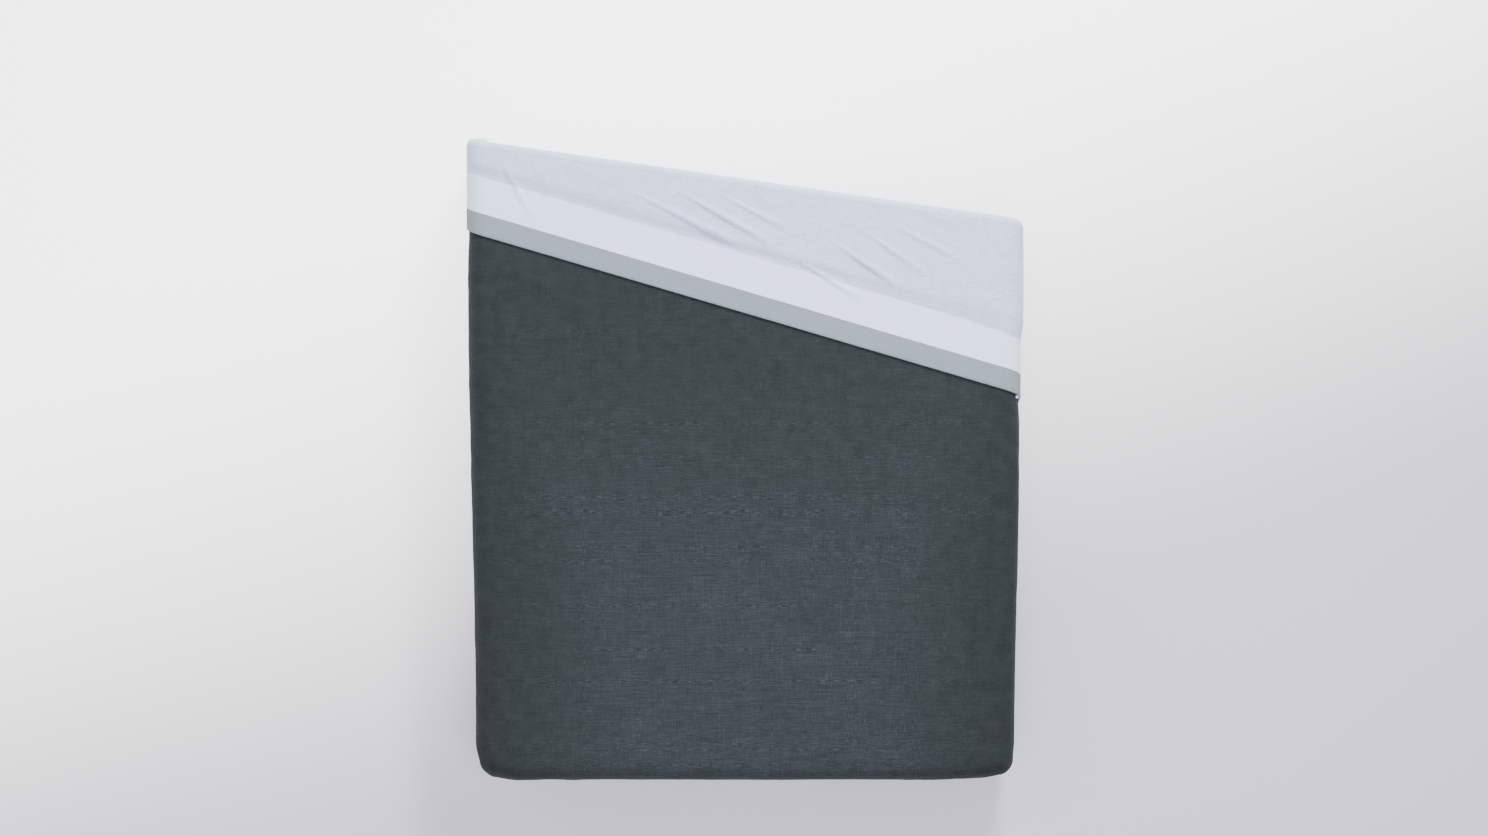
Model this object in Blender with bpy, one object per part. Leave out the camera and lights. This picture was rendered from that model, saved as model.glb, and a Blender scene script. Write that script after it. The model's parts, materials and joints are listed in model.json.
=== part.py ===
"""A duvet draped over a queen-size mattress, its head end turned back on a slant.

Metres, +Z up, +Y towards the head of the bed, +X to the right as seen from the foot. The origin is
the middle of the underside that rests on the mattress, so the mattress top is the plane Z = 0.
"""

from math import cos, pi, radians, sin, tan

import bmesh
import bpy
from mathutils import Matrix, Vector

# Space that the duvet is draped around
INNER_HALF_WIDTH = 0.775
FOOT_REACH = 1.0385
EDGE_RADIUS = 0.020

# Cut size and hang
DUVET_WIDTH = 2.235
FOOT_HANG = 0.190

# Layers, from the mattress up
CLOTH = 0.0012
TICKING = 0.0006
FILL_THICKNESS = 0.0235
LAYER_GAP = 0.0003
INSERT_EASE = 0.020

# Fill chambers over the mattress
CHAMBER_COLUMNS = 3
CHAMBER_ROWS = 4
STITCH_GAP = 0.006

# Turned-back head end
FOLD_SLANT = radians(8.23)
FOLD_AT_CENTRE = 0.6725
TURNBACK_DEPTH = 0.3722
TURNBACK_FILL = 0.009
TURNBACK_GAP = 0.0005
FOLD_CLEARANCE = 0.0005
BAND_DEPTH = 0.062
FACING_DEPTH = 0.102
TRIM_GAP = 0.0005
INSERT_STOP = 0.200
RAMP = 0.028
TIE_SPACE = 0.0024
FACING = 0.0010

# Corner ties and loops
RING_RADIUS = 0.0055
RING_WIRE = 0.0009
TIE_LENGTH = 0.150
TIE_WIDTH = 0.008
TIE_THICKNESS = 0.0010
TIE_INSET = 0.030

# Care label
LABEL_LENGTH = 0.045
LABEL_WIDTH = 0.030
LABEL_THICKNESS = 0.0004
LABEL_FROM_FOOT = 0.300
LABEL_GAP = 0.0004

# Zip along the foot hem
ZIP_LENGTH = 1.100
TAPE_THICKNESS = 0.0008
COIL_WIDTH = 0.0024
COIL_THICKNESS = 0.0020
COIL_GAP = 0.0003
STOP_LENGTH = 0.004
SLIDER_LENGTH = 0.010
SLIDER_PLATE = 0.0014
SLIDER_FLANGE = 0.0010
SLIDER_CLEARANCE = 0.0004
EAR_DROP = 0.0055
EAR_LENGTH = 0.0050
EAR_THICKNESS = 0.0010
PIN_RADIUS = 0.0008
PIN_CLEARANCE = 0.0004
BARREL_WALL = 0.0009
PULL_LENGTH = 0.028
PULL_THICKNESS = 0.0016
PULL_SIDE_GAP = 0.0004

ARC_STEPS = 4
CORNER_STEPS = 5
ROUND_SIDES = 24

# Sizes that follow from the ones above
FACE_UNDER = CLOTH + 3 * LAYER_GAP + 2 * TICKING + FILL_THICKNESS + LAYER_GAP
THICKNESS = FACE_UNDER + CLOTH
CORE_HALF = INNER_HALF_WIDTH - EDGE_RADIUS
CORE_FOOT = -(FOOT_REACH - EDGE_RADIUS)
BEND_LENGTH = pi / 2 * (EDGE_RADIUS + THICKNESS / 2)
SIDE_REACH = DUVET_WIDTH / 2 - CORE_HALF
FOOT_HEM_REACH = BEND_LENGTH + FOOT_HANG
FOOT_HEM_Z = -EDGE_RADIUS - FOOT_HANG

TURNBACK_BASE = THICKNESS + TURNBACK_GAP
INSERT_HEIGHT = CLOTH + 4 * LAYER_GAP + 2 * TICKING + TURNBACK_FILL
HEM_HEIGHT = CLOTH + TIE_SPACE
TURNBACK_MID = TURNBACK_BASE + (INSERT_HEIGHT + CLOTH) / 2
TURNBACK_BEND = pi / 2 * (EDGE_RADIUS + TURNBACK_MID)
TURNBACK_SIDE = CORE_HALF + TURNBACK_BEND
FOLD_HEIGHT = THICKNESS + TURNBACK_GAP / 2
CREASE_OUT = INNER_HALF_WIDTH + TURNBACK_BASE + INSERT_HEIGHT + CLOTH
CREASE_HEIGHT = TURNBACK_MID / 2

PARTS = bpy.data.collections.new("duvet")
CUTTERS = bpy.data.collections.new("duvet_cutters")


# --- scene and materials -------------------------------------------------------------------------


def clear_scene():
    for obj in list(bpy.data.objects):
        bpy.data.objects.remove(obj, do_unlink=True)
    bpy.context.scene.collection.children.link(PARTS)
    bpy.context.scene.collection.children.link(CUTTERS)


def material(name, colour, roughness, metallic=0.0):
    made = bpy.data.materials.new(name)
    made.use_nodes = True
    shader = made.node_tree.nodes["Principled BSDF"]
    shader.inputs["Base Color"].default_value = (*colour, 1.0)
    shader.inputs["Roughness"].default_value = roughness
    shader.inputs["Metallic"].default_value = metallic
    made.diffuse_color = (*colour, 1.0)
    return made


def add_node(name, bm, finish):
    """The mesh in bm as one object of the duvet, faces outward."""
    bmesh.ops.recalc_face_normals(bm, faces=bm.faces)
    mesh = bpy.data.meshes.new(name)
    bm.to_mesh(mesh)
    bm.free()
    mesh.materials.append(finish)
    obj = bpy.data.objects.new(name, mesh)
    PARTS.objects.link(obj)
    return obj


# --- layers: a grid laid at one height and extruded to another ------------------------------------


def grid(bm, columns, rows, place):
    """A grid of columns by rows spans in bm; place(i, j) gives a vertex's data and lays it flat."""
    made = bmesh.ops.create_grid(bm, x_segments=columns, y_segments=rows, size=1.0)
    for vertex in made["verts"]:
        column = round((vertex.co.x + 1) / 2 * columns)
        row = round((vertex.co.y + 1) / 2 * rows)
        place(vertex, column, row)


def close_layer(bm, low, high):
    """Lays every vertex at its low place and extrudes the sheet to its high place."""
    bmesh.ops.remove_doubles(bm, verts=bm.verts, dist=1e-6)
    flat = {vertex: vertex.co.copy() for vertex in bm.verts}
    made = bmesh.ops.extrude_face_region(bm, geom=bm.faces[:])
    lifted = {g for g in made["geom"] if isinstance(g, bmesh.types.BMVert)}
    for vertex in bm.verts:
        pattern = vertex.co.copy() if vertex in lifted else flat[vertex]
        vertex.co = high(pattern) if vertex in lifted else low(pattern)


# --- the body of the duvet: flat over the mattress, hanging at the sides and the foot --------------
# A point of the pattern is (x, y) over the mattress. Past the mattress edge it is the distance from
# that edge along the cloth, outward from the edge.


def fold_y(x):
    """Where the fold line crosses the pattern at x."""
    return FOLD_AT_CENTRE - tan(FOLD_SLANT) * x


def body_end(x):
    """Head end of the body's cloth at x, just short of the fold."""
    return fold_y(x) - FOLD_CLEARANCE / cos(FOLD_SLANT)


def bend_station(step, height):
    """Outward and upward place at one step of the bend over the mattress edge."""
    angle = step / ARC_STEPS * pi / 2
    radius = EDGE_RADIUS + height
    return Vector((radius * sin(angle), radius * cos(angle) - EDGE_RADIUS))


def hang(reach, height):
    """Outward and upward place of a point that lies reach past the mattress edge, at height."""
    if reach < BEND_LENGTH:
        steps = reach / BEND_LENGTH * ARC_STEPS
        step = int(steps)
        return bend_station(step, height).lerp(bend_station(step + 1, height), steps - step)
    return Vector((EDGE_RADIUS + height, -EDGE_RADIUS - (reach - BEND_LENGTH)))


def draped(pattern, height):
    """World place of a pattern point of the body, at height above the cloth's inner side."""
    past_side = max(abs(pattern.x) - CORE_HALF, 0.0)
    past_foot = max(CORE_FOOT - pattern.y, 0.0)
    if not past_side and not past_foot:
        return Vector((pattern.x, pattern.y, height))
    reach = (past_side**2 + past_foot**2) ** 0.5
    out, up = hang(reach, height)
    side = 1 if pattern.x > 0 else -1
    x = side * (CORE_HALF + out * past_side / reach) if past_side else pattern.x
    y = CORE_FOOT - out * past_foot / reach if past_foot else pattern.y
    return Vector((x, y, up))


def hem_reach(turn, ease):
    """Length of the hang at a turn from 0, facing the side, to 1, facing the foot."""
    share = sin(turn * pi / 2) ** 2
    return SIDE_REACH + (FOOT_HEM_REACH - SIDE_REACH) * share - ease


def reaches(first, last):
    """Distances past the mattress edge at which a hanging layer has its rows of vertices."""
    bend = [BEND_LENGTH * step / ARC_STEPS for step in range(ARC_STEPS + 1)]
    return [first] + [r for r in bend if r > first + 1e-6] + [last]


def lay_side(bm, side, first, ease, foot_y):
    """Pattern grid of one hanging side, from foot_y to the fold."""
    rows = reaches(first, hem_reach(0, ease))

    def place(vertex, column, row):
        x = CORE_HALF + rows[row]
        y = body_end(side * x) if column else foot_y
        vertex.co = (side * x, y, 0)

    grid(bm, 1, len(rows) - 1, place)


def lay_foot(bm, first, ease, half):
    """Pattern grid of the hanging foot end."""
    rows = reaches(first, hem_reach(1, ease))

    def place(vertex, column, row):
        vertex.co = ((2 * column - 1) * half, CORE_FOOT - rows[row], 0)

    grid(bm, 1, len(rows) - 1, place)


def lay_corner(bm, side, first, ease):
    """Pattern grid of one foot corner, turned a quarter round the mattress corner."""
    count = len(reaches(first, 1.0))

    def place(vertex, column, row):
        turn = column / CORNER_STEPS
        reach = reaches(first, hem_reach(turn, ease))[row]
        angle = turn * pi / 2
        x = CORE_HALF + reach * cos(angle)
        vertex.co = (side * x, CORE_FOOT - reach * sin(angle), 0)

    grid(bm, CORNER_STEPS, count - 1, place)


def lay_top(bm, low_x, high_x, low_y, high_y):
    """Pattern quad over the mattress; high_y is a function of x."""

    def place(vertex, column, row):
        x = high_x if column else low_x
        vertex.co = (x, high_y(x) if row else low_y, 0)

    grid(bm, 1, 1, place)


def body_layer(name, finish, bottom, thickness, ease):
    """One layer over the mattress, both sides, the foot and its corners, in one piece."""
    bm = bmesh.new()
    lay_top(bm, -CORE_HALF, CORE_HALF, CORE_FOOT, body_end)
    lay_foot(bm, 0.0, ease, CORE_HALF)
    for side in (-1, 1):
        lay_side(bm, side, 0.0, ease, CORE_FOOT)
        lay_corner(bm, side, 0.0, ease)
    close_layer(
        bm, lambda p: draped(p, bottom), lambda p: draped(p, bottom + thickness)
    )
    return add_node(name, bm, finish)


def body_patch(name, finish, bottom, thickness, lay):
    """One piece of a layer, with its pattern grid laid by the function lay."""
    bm = bmesh.new()
    lay(bm)
    close_layer(
        bm, lambda p: draped(p, bottom), lambda p: draped(p, bottom + thickness)
    )
    return add_node(name, bm, finish)


def build_body_cloths(finishes):
    """Cover cloths and ticking, from the mattress up."""
    under_ticking = CLOTH + LAYER_GAP
    over_ticking = under_ticking + TICKING + 2 * LAYER_GAP + FILL_THICKNESS
    body_layer("cover_reverse_body", finishes["white"], 0.0, CLOTH, 0.0)
    body_layer("ticking_lower_body", finishes["ticking"], under_ticking, TICKING, INSERT_EASE)
    body_layer("ticking_upper_body", finishes["ticking"], over_ticking, TICKING, INSERT_EASE)
    body_layer("cover_face_body", finishes["slate"], FACE_UNDER, CLOTH, 0.0)


def build_body_fill(finishes):
    """Fill of the insert: chambers over the mattress, one each for the sides, foot and corners."""
    finish = finishes["fill"]
    bottom = CLOTH + TICKING + 2 * LAYER_GAP
    width = 2 * CORE_HALF / CHAMBER_COLUMNS
    length = (FOLD_AT_CENTRE - CORE_FOOT) / CHAMBER_ROWS
    half_gap = STITCH_GAP / 2
    for column in range(CHAMBER_COLUMNS):
        low_x = -CORE_HALF + column * width + half_gap
        high_x = low_x + width - STITCH_GAP
        for row in range(CHAMBER_ROWS):
            low_y = CORE_FOOT + row * length + half_gap
            flat_y = low_y + length - STITCH_GAP
            last = row == CHAMBER_ROWS - 1
            body_patch(
                f"fill_chamber_{row + 1}_{column + 1}", finish, bottom, FILL_THICKNESS,
                lambda bm: lay_top(
                    bm, low_x, high_x, low_y, body_end if last else lambda x: flat_y
                ),
            )
    body_patch(
        "fill_foot", finish, bottom, FILL_THICKNESS,
        lambda bm: lay_foot(bm, half_gap, INSERT_EASE, CORE_HALF - half_gap),
    )
    for side, word in ((-1, "left"), (1, "right")):
        body_patch(
            f"fill_{word}", finish, bottom, FILL_THICKNESS,
            lambda bm: lay_side(bm, side, half_gap, INSERT_EASE, CORE_FOOT + half_gap),
        )
        body_patch(
            f"fill_corner_{word}", finish, bottom, FILL_THICKNESS,
            lambda bm: lay_corner(bm, side, STITCH_GAP, INSERT_EASE),
        )


def build_hem_seams(finishes):
    """Seams that join face and reverse at the hem, each from the fold round to the zip's end."""
    for side, word in ((-1, "left"), (1, "right")):
        bm = bmesh.new()
        path = [(side * (CORE_HALF + SIDE_REACH), body_end(side * (CORE_HALF + SIDE_REACH)))]
        for step in range(CORNER_STEPS + 1):
            turn = step / CORNER_STEPS
            reach = hem_reach(turn, 0.0)
            x = CORE_HALF + reach * cos(turn * pi / 2)
            path.append((side * x, CORE_FOOT - reach * sin(turn * pi / 2)))
        path.append((side * (ZIP_LENGTH / 2 + STITCH_GAP), CORE_FOOT - FOOT_HEM_REACH))

        def place(vertex, column, row):
            vertex.co = (*path[column], row)

        grid(bm, len(path) - 1, 1, place)

        def under(pattern, depth):
            point = draped(Vector((pattern.x, pattern.y, 0)), pattern.z * THICKNESS)
            return point - Vector((0, 0, depth))

        close_layer(
            bm, lambda p: under(p, LAYER_GAP + CLOTH), lambda p: under(p, LAYER_GAP)
        )
        add_node(f"side_seam_{word}", bm, finishes["slate"])


# --- the turned-back head end ----------------------------------------------------------------------
# Its pattern is already turned over: the fold line is its head end, and its free edge slants at
# twice the fold's own angle. A line is (point, direction).


def meet(first, second):
    """Crossing point of two lines of the pattern."""
    (p, d), (q, e) = first, second
    cross = d.x * e.y - d.y * e.x
    gap = q - p
    return p + d * ((gap.x * e.y - gap.y * e.x) / cross)


def fold_line():
    """The fold, moved a clearance into the turned-back cloth."""
    return Vector((0, body_end(0))), Vector((cos(FOLD_SLANT), -sin(FOLD_SLANT)))


def cross_line(distance):
    """A line parallel to the free edge, at this distance from it."""
    slant = 2 * FOLD_SLANT
    edge_y = FOLD_AT_CENTRE - TURNBACK_DEPTH
    return Vector((0, edge_y + distance / cos(slant))), Vector((cos(slant), -sin(slant)))


def crease_line(side, out):
    """A line along the bed, out from the middle."""
    return Vector((side * out, 0)), Vector((0, 1))


def hem_line(side, inset=0.0):
    """The cover's side edge, turned over with the cloth, less an inset."""
    edge = side * (DUVET_WIDTH / 2 - inset)
    slant = 2 * FOLD_SLANT
    return Vector((edge, fold_y(edge))), Vector((sin(slant), cos(slant)))


def turned(point, height):
    """World place of a turned-back pattern point, at height above the cloth's underside."""
    out = abs(point.x)
    side = 1 if point.x > 0 else -1
    level = TURNBACK_BASE + height
    if out <= CORE_HALF + 1e-6:
        return Vector((point.x, point.y, level))
    return Vector(
        (side * (INNER_HALF_WIDTH + level), point.y, -EDGE_RADIUS - (out - TURNBACK_SIDE))
    )


def turned_piece(name, finish, first, last, crosses, heights, thickness):
    """A piece between two side lines, with cross lines from its free edge to the fold.

    heights gives the height of its underside at each cross line.
    """
    bm = bmesh.new()
    rows = list(zip(crosses, heights))

    def place(vertex, column, row):
        point = meet(last if column else first, rows[row][0])
        vertex.co = (point.x, point.y, rows[row][1])

    grid(bm, 1, len(rows) - 1, place)
    close_layer(
        bm, lambda p: turned(p, p.z), lambda p: turned(p, p.z + thickness)
    )
    return add_node(name, bm, finish)


def build_turned_layers(finishes, suffix, first, last, with_insert, insert_last):
    """All layers of one part of the turn-back, between two side lines."""
    fold = fold_line()
    free = cross_line(0.0)
    stop = cross_line(INSERT_STOP)
    base = CLOTH + LAYER_GAP
    turned_piece(
        f"cover_face_{suffix}", finishes["slate"], first, last, [free, fold], [0.0, 0.0], CLOTH
    )
    trim = HEM_HEIGHT + CLOTH + LAYER_GAP
    turned_piece(
        f"border_band_{suffix}", finishes["band"], first, last,
        [free, cross_line(BAND_DEPTH)], [trim, trim], FACING,
    )
    turned_piece(
        f"hem_facing_{suffix}", finishes["facing"], first, last,
        [cross_line(BAND_DEPTH + TRIM_GAP), cross_line(BAND_DEPTH + FACING_DEPTH)],
        [trim, trim], FACING,
    )
    if not with_insert:
        turned_piece(
            f"cover_reverse_{suffix}", finishes["white"], first, last,
            [free, fold], [HEM_HEIGHT, HEM_HEIGHT], CLOTH,
        )
        return
    turned_piece(
        f"cover_reverse_{suffix}", finishes["white"], first, last,
        [free, cross_line(INSERT_STOP - RAMP), stop, fold],
        [HEM_HEIGHT, HEM_HEIGHT, INSERT_HEIGHT, INSERT_HEIGHT], CLOTH,
    )
    inner = cross_line(INSERT_STOP + LAYER_GAP)
    fill = base + TICKING + LAYER_GAP
    lower = fill + TURNBACK_FILL + LAYER_GAP
    for word, finish, height, thickness in (
        ("ticking_upper", "ticking", base, TICKING),
        ("fill", "fill", fill, TURNBACK_FILL),
        ("ticking_lower", "ticking", lower, TICKING),
    ):
        turned_piece(
            f"{word}_{suffix}", finishes[finish], first, insert_last,
            [inner, fold], [height, height], thickness,
        )


def build_turned_seam(finishes, side, word):
    """Seam that joins the turned-back cloths at their hanging hem."""
    bm = bmesh.new()
    ends = [meet(hem_line(side), line) for line in (cross_line(0.0), fold_line())]

    def place(vertex, column, row):
        vertex.co = (ends[column].x, ends[column].y, row)

    grid(bm, 1, 1, place)

    def under(pattern, depth):
        point = turned(pattern, pattern.z * (HEM_HEIGHT + CLOTH))
        return point - Vector((0, 0, depth))

    close_layer(bm, lambda p: under(p, LAYER_GAP + CLOTH), lambda p: under(p, LAYER_GAP))
    add_node(f"turnback_seam_{word}", bm, finishes["white"])


def build_head_tie(finishes, side, word):
    """Tape tie sewn in the cover's head corner, lying between the face and the reverse."""
    corner = meet(hem_line(side, TIE_INSET), cross_line(TIE_INSET))
    low = Vector((corner.x - side * TIE_LENGTH, corner.y))
    bm = bmesh.new()

    def place(vertex, column, row):
        x = corner.x if column else low.x
        vertex.co = (x, corner.y + row * TIE_WIDTH, 0)

    grid(bm, 1, 1, place)
    start = CLOTH + (TIE_SPACE - TIE_THICKNESS) / 2
    close_layer(bm, lambda p: turned(p, start), lambda p: turned(p, start + TIE_THICKNESS))
    add_node(f"tie_head_{word}", bm, finishes["white"])


def build_turnback(finishes):
    """The turned-back end: the part over the bed and the two ends that hang over its sides."""
    build_turned_layers(
        finishes, "turnback", crease_line(-1, CORE_HALF), crease_line(1, CORE_HALF),
        True, crease_line(1, CORE_HALF),
    )
    build_turned_layers(
        finishes, "turnback_left", crease_line(-1, TURNBACK_SIDE), hem_line(-1), False, None
    )
    build_turned_layers(
        finishes, "turnback_right", crease_line(1, TURNBACK_SIDE), hem_line(1),
        True, hem_line(1, INSERT_EASE),
    )
    for side, word in ((-1, "left"), (1, "right")):
        build_turned_seam(finishes, side, word)
        build_head_tie(finishes, side, word)


# --- small pieces ----------------------------------------------------------------------------------


def ring_mesh(major, minor):
    """A torus round Z, from a circle screwed a full turn."""
    bm = bmesh.new()
    bmesh.ops.create_circle(bm, segments=10, radius=minor)
    bmesh.ops.rotate(bm, verts=bm.verts, matrix=Matrix.Rotation(pi / 2, 3, "X"))
    bmesh.ops.translate(bm, verts=bm.verts, vec=(major, 0, 0))
    bmesh.ops.spin(
        bm, geom=bm.edges[:], axis=(0, 0, 1), angle=2 * pi, steps=ROUND_SIDES,
        use_merge=True,
    )
    bmesh.ops.remove_doubles(bm, verts=bm.verts, dist=1e-6)
    return bm


def build_corner_rings(finishes):
    """At each foot corner, a loop on the insert and the cover's tie knotted through it."""
    for side, word in ((-1, "left"), (1, "right")):
        pattern = Vector((side * (CORE_HALF + SIDE_REACH), CORE_FOOT + TIE_INSET, 0))
        hem = draped(pattern, THICKNESS / 2)
        height = INSERT_EASE - RING_RADIUS - RING_WIRE - 4 * LAYER_GAP
        for name, up, turn in (
            (f"insert_loop_foot_{word}", height, Matrix.Rotation(pi / 2, 4, "X")),
            (
                f"tie_foot_{word}",
                RING_RADIUS + RING_WIRE + 2 * LAYER_GAP,
                Matrix.Rotation(pi / 2, 4, "Y"),
            ),
        ):
            bm = ring_mesh(RING_RADIUS, RING_WIRE)
            place = Matrix.Translation(hem + Vector((0, 0, up))) @ turn
            bmesh.ops.transform(bm, matrix=place, verts=bm.verts)
            add_node(name, bm, finishes["white"])


def block(low, high):
    """A box in bmesh, between two corners."""
    bm = bmesh.new()
    bmesh.ops.create_cube(bm, size=1.0)
    low, high = Vector(low), Vector(high)
    for vertex in bm.verts:
        for axis in range(3):
            vertex.co[axis] = high[axis] if vertex.co[axis] > 0 else low[axis]
    return bm


def rod(radius, length, centre):
    """A cylinder along Y in bmesh, about a centre."""
    bm = bmesh.new()
    bmesh.ops.create_cone(
        bm, cap_ends=True, segments=ROUND_SIDES, radius1=radius, radius2=radius, depth=length
    )
    turn = Matrix.Translation(centre) @ Matrix.Rotation(pi / 2, 4, "X")
    bmesh.ops.transform(bm, matrix=turn, verts=bm.verts)
    return bm


def build_label(finishes):
    """Blank care label on the inner side of the left hang, near the foot."""
    x = -INNER_HALF_WIDTH + LABEL_GAP
    hem = draped(Vector((-CORE_HALF - SIDE_REACH, 0, 0)), 0.0).z
    low = (x, CORE_FOOT + LABEL_FROM_FOOT, hem)
    high = (x + LABEL_THICKNESS, low[1] + LABEL_WIDTH, hem + LABEL_LENGTH)
    add_node("care_label", block(low, high), finishes["white"])


def tool(name, bm):
    """A helper solid that a Boolean reads."""
    bmesh.ops.recalc_face_normals(bm, faces=bm.faces)
    mesh = bpy.data.meshes.new(name)
    bm.to_mesh(mesh)
    bm.free()
    obj = bpy.data.objects.new(name, mesh)
    obj.hide_render = True
    obj.display_type = "WIRE"
    CUTTERS.objects.link(obj)
    return obj


def combine(obj, name, bm, operation):
    """Joins a helper solid to obj, or cuts it away."""
    modifier = obj.modifiers.new(name, "BOOLEAN")
    modifier.operation = operation
    modifier.object = tool(f"{obj.name}_{name}", bm)


def zip_middle():
    """Y of the zip's middle line, midway through the duvet's foot end."""
    return -(FOOT_REACH + THICKNESS / 2)


def build_zip(finishes):
    """Tapes, closed coil and end stops under the foot hem."""
    half = ZIP_LENGTH / 2
    middle = zip_middle()
    top = FOOT_HEM_Z - LAYER_GAP
    coil_top = top - TAPE_THICKNESS - LAYER_GAP
    inner = COIL_GAP / 2
    for side, word in ((-1, "face"), (1, "reverse")):
        near, far = middle + side * inner, middle + side * THICKNESS / 2
        add_node(
            f"zip_tape_{word}",
            block((-half, min(near, far), top - TAPE_THICKNESS), (half, max(near, far), top)),
            finishes["tape"],
        )
        far = near + side * COIL_WIDTH
        add_node(
            f"zip_coil_{word}",
            block(
                (-half + STOP_LENGTH, min(near, far), coil_top - COIL_THICKNESS),
                (half - STOP_LENGTH, max(near, far), coil_top),
            ),
            finishes["tape"],
        )
    width = inner + COIL_WIDTH
    for side, word in ((-1, "open"), (1, "closed")):
        outer, inside = side * half, side * (half - STOP_LENGTH + LAYER_GAP)
        add_node(
            f"zip_stop_{word}",
            block(
                (min(outer, inside), middle - width, coil_top - COIL_THICKNESS),
                (max(outer, inside), middle + width, coil_top),
            ),
            finishes["metal"],
        )


def slider_sizes():
    """Middle X, underside of the coil, half width inside the flanges, and pin height."""
    x = ZIP_LENGTH / 2 - STOP_LENGTH - SLIDER_LENGTH / 2 - SLIDER_CLEARANCE
    coil = FOOT_HEM_Z - 2 * LAYER_GAP - TAPE_THICKNESS - COIL_THICKNESS
    inside = COIL_GAP / 2 + COIL_WIDTH + SLIDER_CLEARANCE
    plate = coil - SLIDER_CLEARANCE - SLIDER_PLATE
    pin = plate - EAR_DROP + PIN_RADIUS + EAR_THICKNESS
    return x, coil, inside, plate, pin


def build_slider(finishes):
    """Slider that rides under the coil, with flanges beside it and a pin between two ears."""
    x, coil, inside, plate, pin = slider_sizes()
    middle = zip_middle()
    half = SLIDER_LENGTH / 2
    outside = inside + SLIDER_FLANGE
    slider = add_node(
        "zip_slider",
        block((x - half, middle - outside, plate), (x + half, middle + outside, plate + SLIDER_PLATE)),
        finishes["metal"],
    )
    flange_top = coil + COIL_THICKNESS
    ear = EAR_LENGTH / 2
    for side, word in ((-1, "face"), (1, "reverse")):
        near, far = middle + side * inside, middle + side * outside
        low, high = min(near, far), max(near, far)
        combine(
            slider, f"flange_{word}",
            block((x - half, low, plate), (x + half, high, flange_top)), "UNION",
        )
        combine(
            slider, f"ear_{word}",
            block((x - ear, low, plate - EAR_DROP), (x + ear, high, plate + SLIDER_PLATE / 2)),
            "UNION",
        )
    pin_at = Vector((x, middle, pin))
    combine(slider, "pin", rod(PIN_RADIUS, 2 * inside + SLIDER_FLANGE, pin_at), "UNION")
    return pin_at, inside


def build_pull(finishes, pin_at, inside):
    """Pull that hangs from the slider's pin: a barrel round the pin and a flat shank."""
    bore = PIN_RADIUS + PIN_CLEARANCE
    width = 2 * (inside - PULL_SIDE_GAP)
    barrel = rod(bore + BARREL_WALL, width, Vector((0, 0, 0)))
    pull = add_node("zip_pull", barrel, finishes["metal"])
    pull.location = pin_at
    shank = block(
        (-PULL_THICKNESS / 2, -width / 2, -PULL_LENGTH),
        (PULL_THICKNESS / 2, width / 2, -bore - BARREL_WALL / 2),
    )
    combine(pull, "shank", shank, "UNION")
    combine(pull, "bore", rod(bore, 2 * width, Vector((0, 0, 0))), "DIFFERENCE")
    for helper in (f"zip_pull_{word}" for word in ("shank", "bore")):
        bpy.data.objects[helper].location = pin_at


# --- joints: each moving piece hangs from an empty on its axis ---------------------------------------


def joint_empty(name, place, parent=None):
    empty = bpy.data.objects.new(name, None)
    empty.empty_display_size = 0.05
    PARTS.objects.link(empty)
    empty.location = place
    if parent:
        empty.parent = parent
        empty.matrix_parent_inverse = parent.matrix_basis.inverted()
    return empty


def hang_on(empty, names):
    """Parents the named pieces to an empty without moving them."""
    for name in names:
        piece = bpy.data.objects[name]
        piece.parent = empty
        piece.matrix_parent_inverse = Matrix.Translation(empty.location).inverted()


def turnback_names(suffix):
    """Names of the pieces that belong to one part of the turn-back."""
    return [o.name for o in PARTS.objects if o.type == "MESH" and o.name.endswith(suffix)]


def build_joints():
    fold = joint_empty("fold_axis", (0, FOLD_AT_CENTRE, FOLD_HEIGHT))
    hang_on(fold, turnback_names("_turnback"))
    for side, word in ((-1, "left"), (1, "right")):
        crease = joint_empty(
            f"crease_axis_{word}", (side * CREASE_OUT, FOLD_AT_CENTRE, CREASE_HEIGHT), fold
        )
        names = turnback_names(f"_turnback_{word}")
        hang_on(crease, names + [f"turnback_seam_{word}", f"tie_head_{word}"])


def main():
    clear_scene()
    finishes = {
        "slate": material("slate_linen", (0.066, 0.084, 0.102), 0.85),
        "white": material("white_cotton", (0.62, 0.66, 0.72), 0.8),
        "facing": material("white_hem", (0.69, 0.74, 0.83), 0.8),
        "band": material("grey_border", (0.44, 0.49, 0.52), 0.8),
        "ticking": material("insert_ticking", (0.80, 0.79, 0.76), 0.75),
        "fill": material("fibre_fill", (0.86, 0.86, 0.85), 0.95),
        "tape": material("zip_tape", (0.07, 0.08, 0.095), 0.6),
        "metal": material("zip_metal", (0.35, 0.36, 0.37), 0.4, 1.0),
    }
    build_body_cloths(finishes)
    build_body_fill(finishes)
    build_hem_seams(finishes)
    build_turnback(finishes)
    build_corner_rings(finishes)
    build_label(finishes)
    build_zip(finishes)
    pin_at, inside = build_slider(finishes)
    build_pull(finishes, pin_at, inside)
    build_joints()


main()
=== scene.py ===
"""A duvet draped over a mattress, its head end turned back on a slant, dressed for the studio.

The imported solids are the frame: pieces take their places and sizes from them. Metres, +Z up, +Y
towards the head of the bed, and z = 0 is the plane that the duvet rests on. A pattern point (x, y)
is a place on the cloth; past the mattress edge it is the distance along the cloth from that edge.
"""

import json
import logging
from collections.abc import Callable, Sequence
from dataclasses import dataclass
from enum import Enum
from math import atan2, cos, hypot, pi, sin, sqrt, tan

import bmesh
import bpy
import numpy as np
from mathutils import Matrix, Vector, noise
from mathutils.bvhtree import BVHTree


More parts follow.
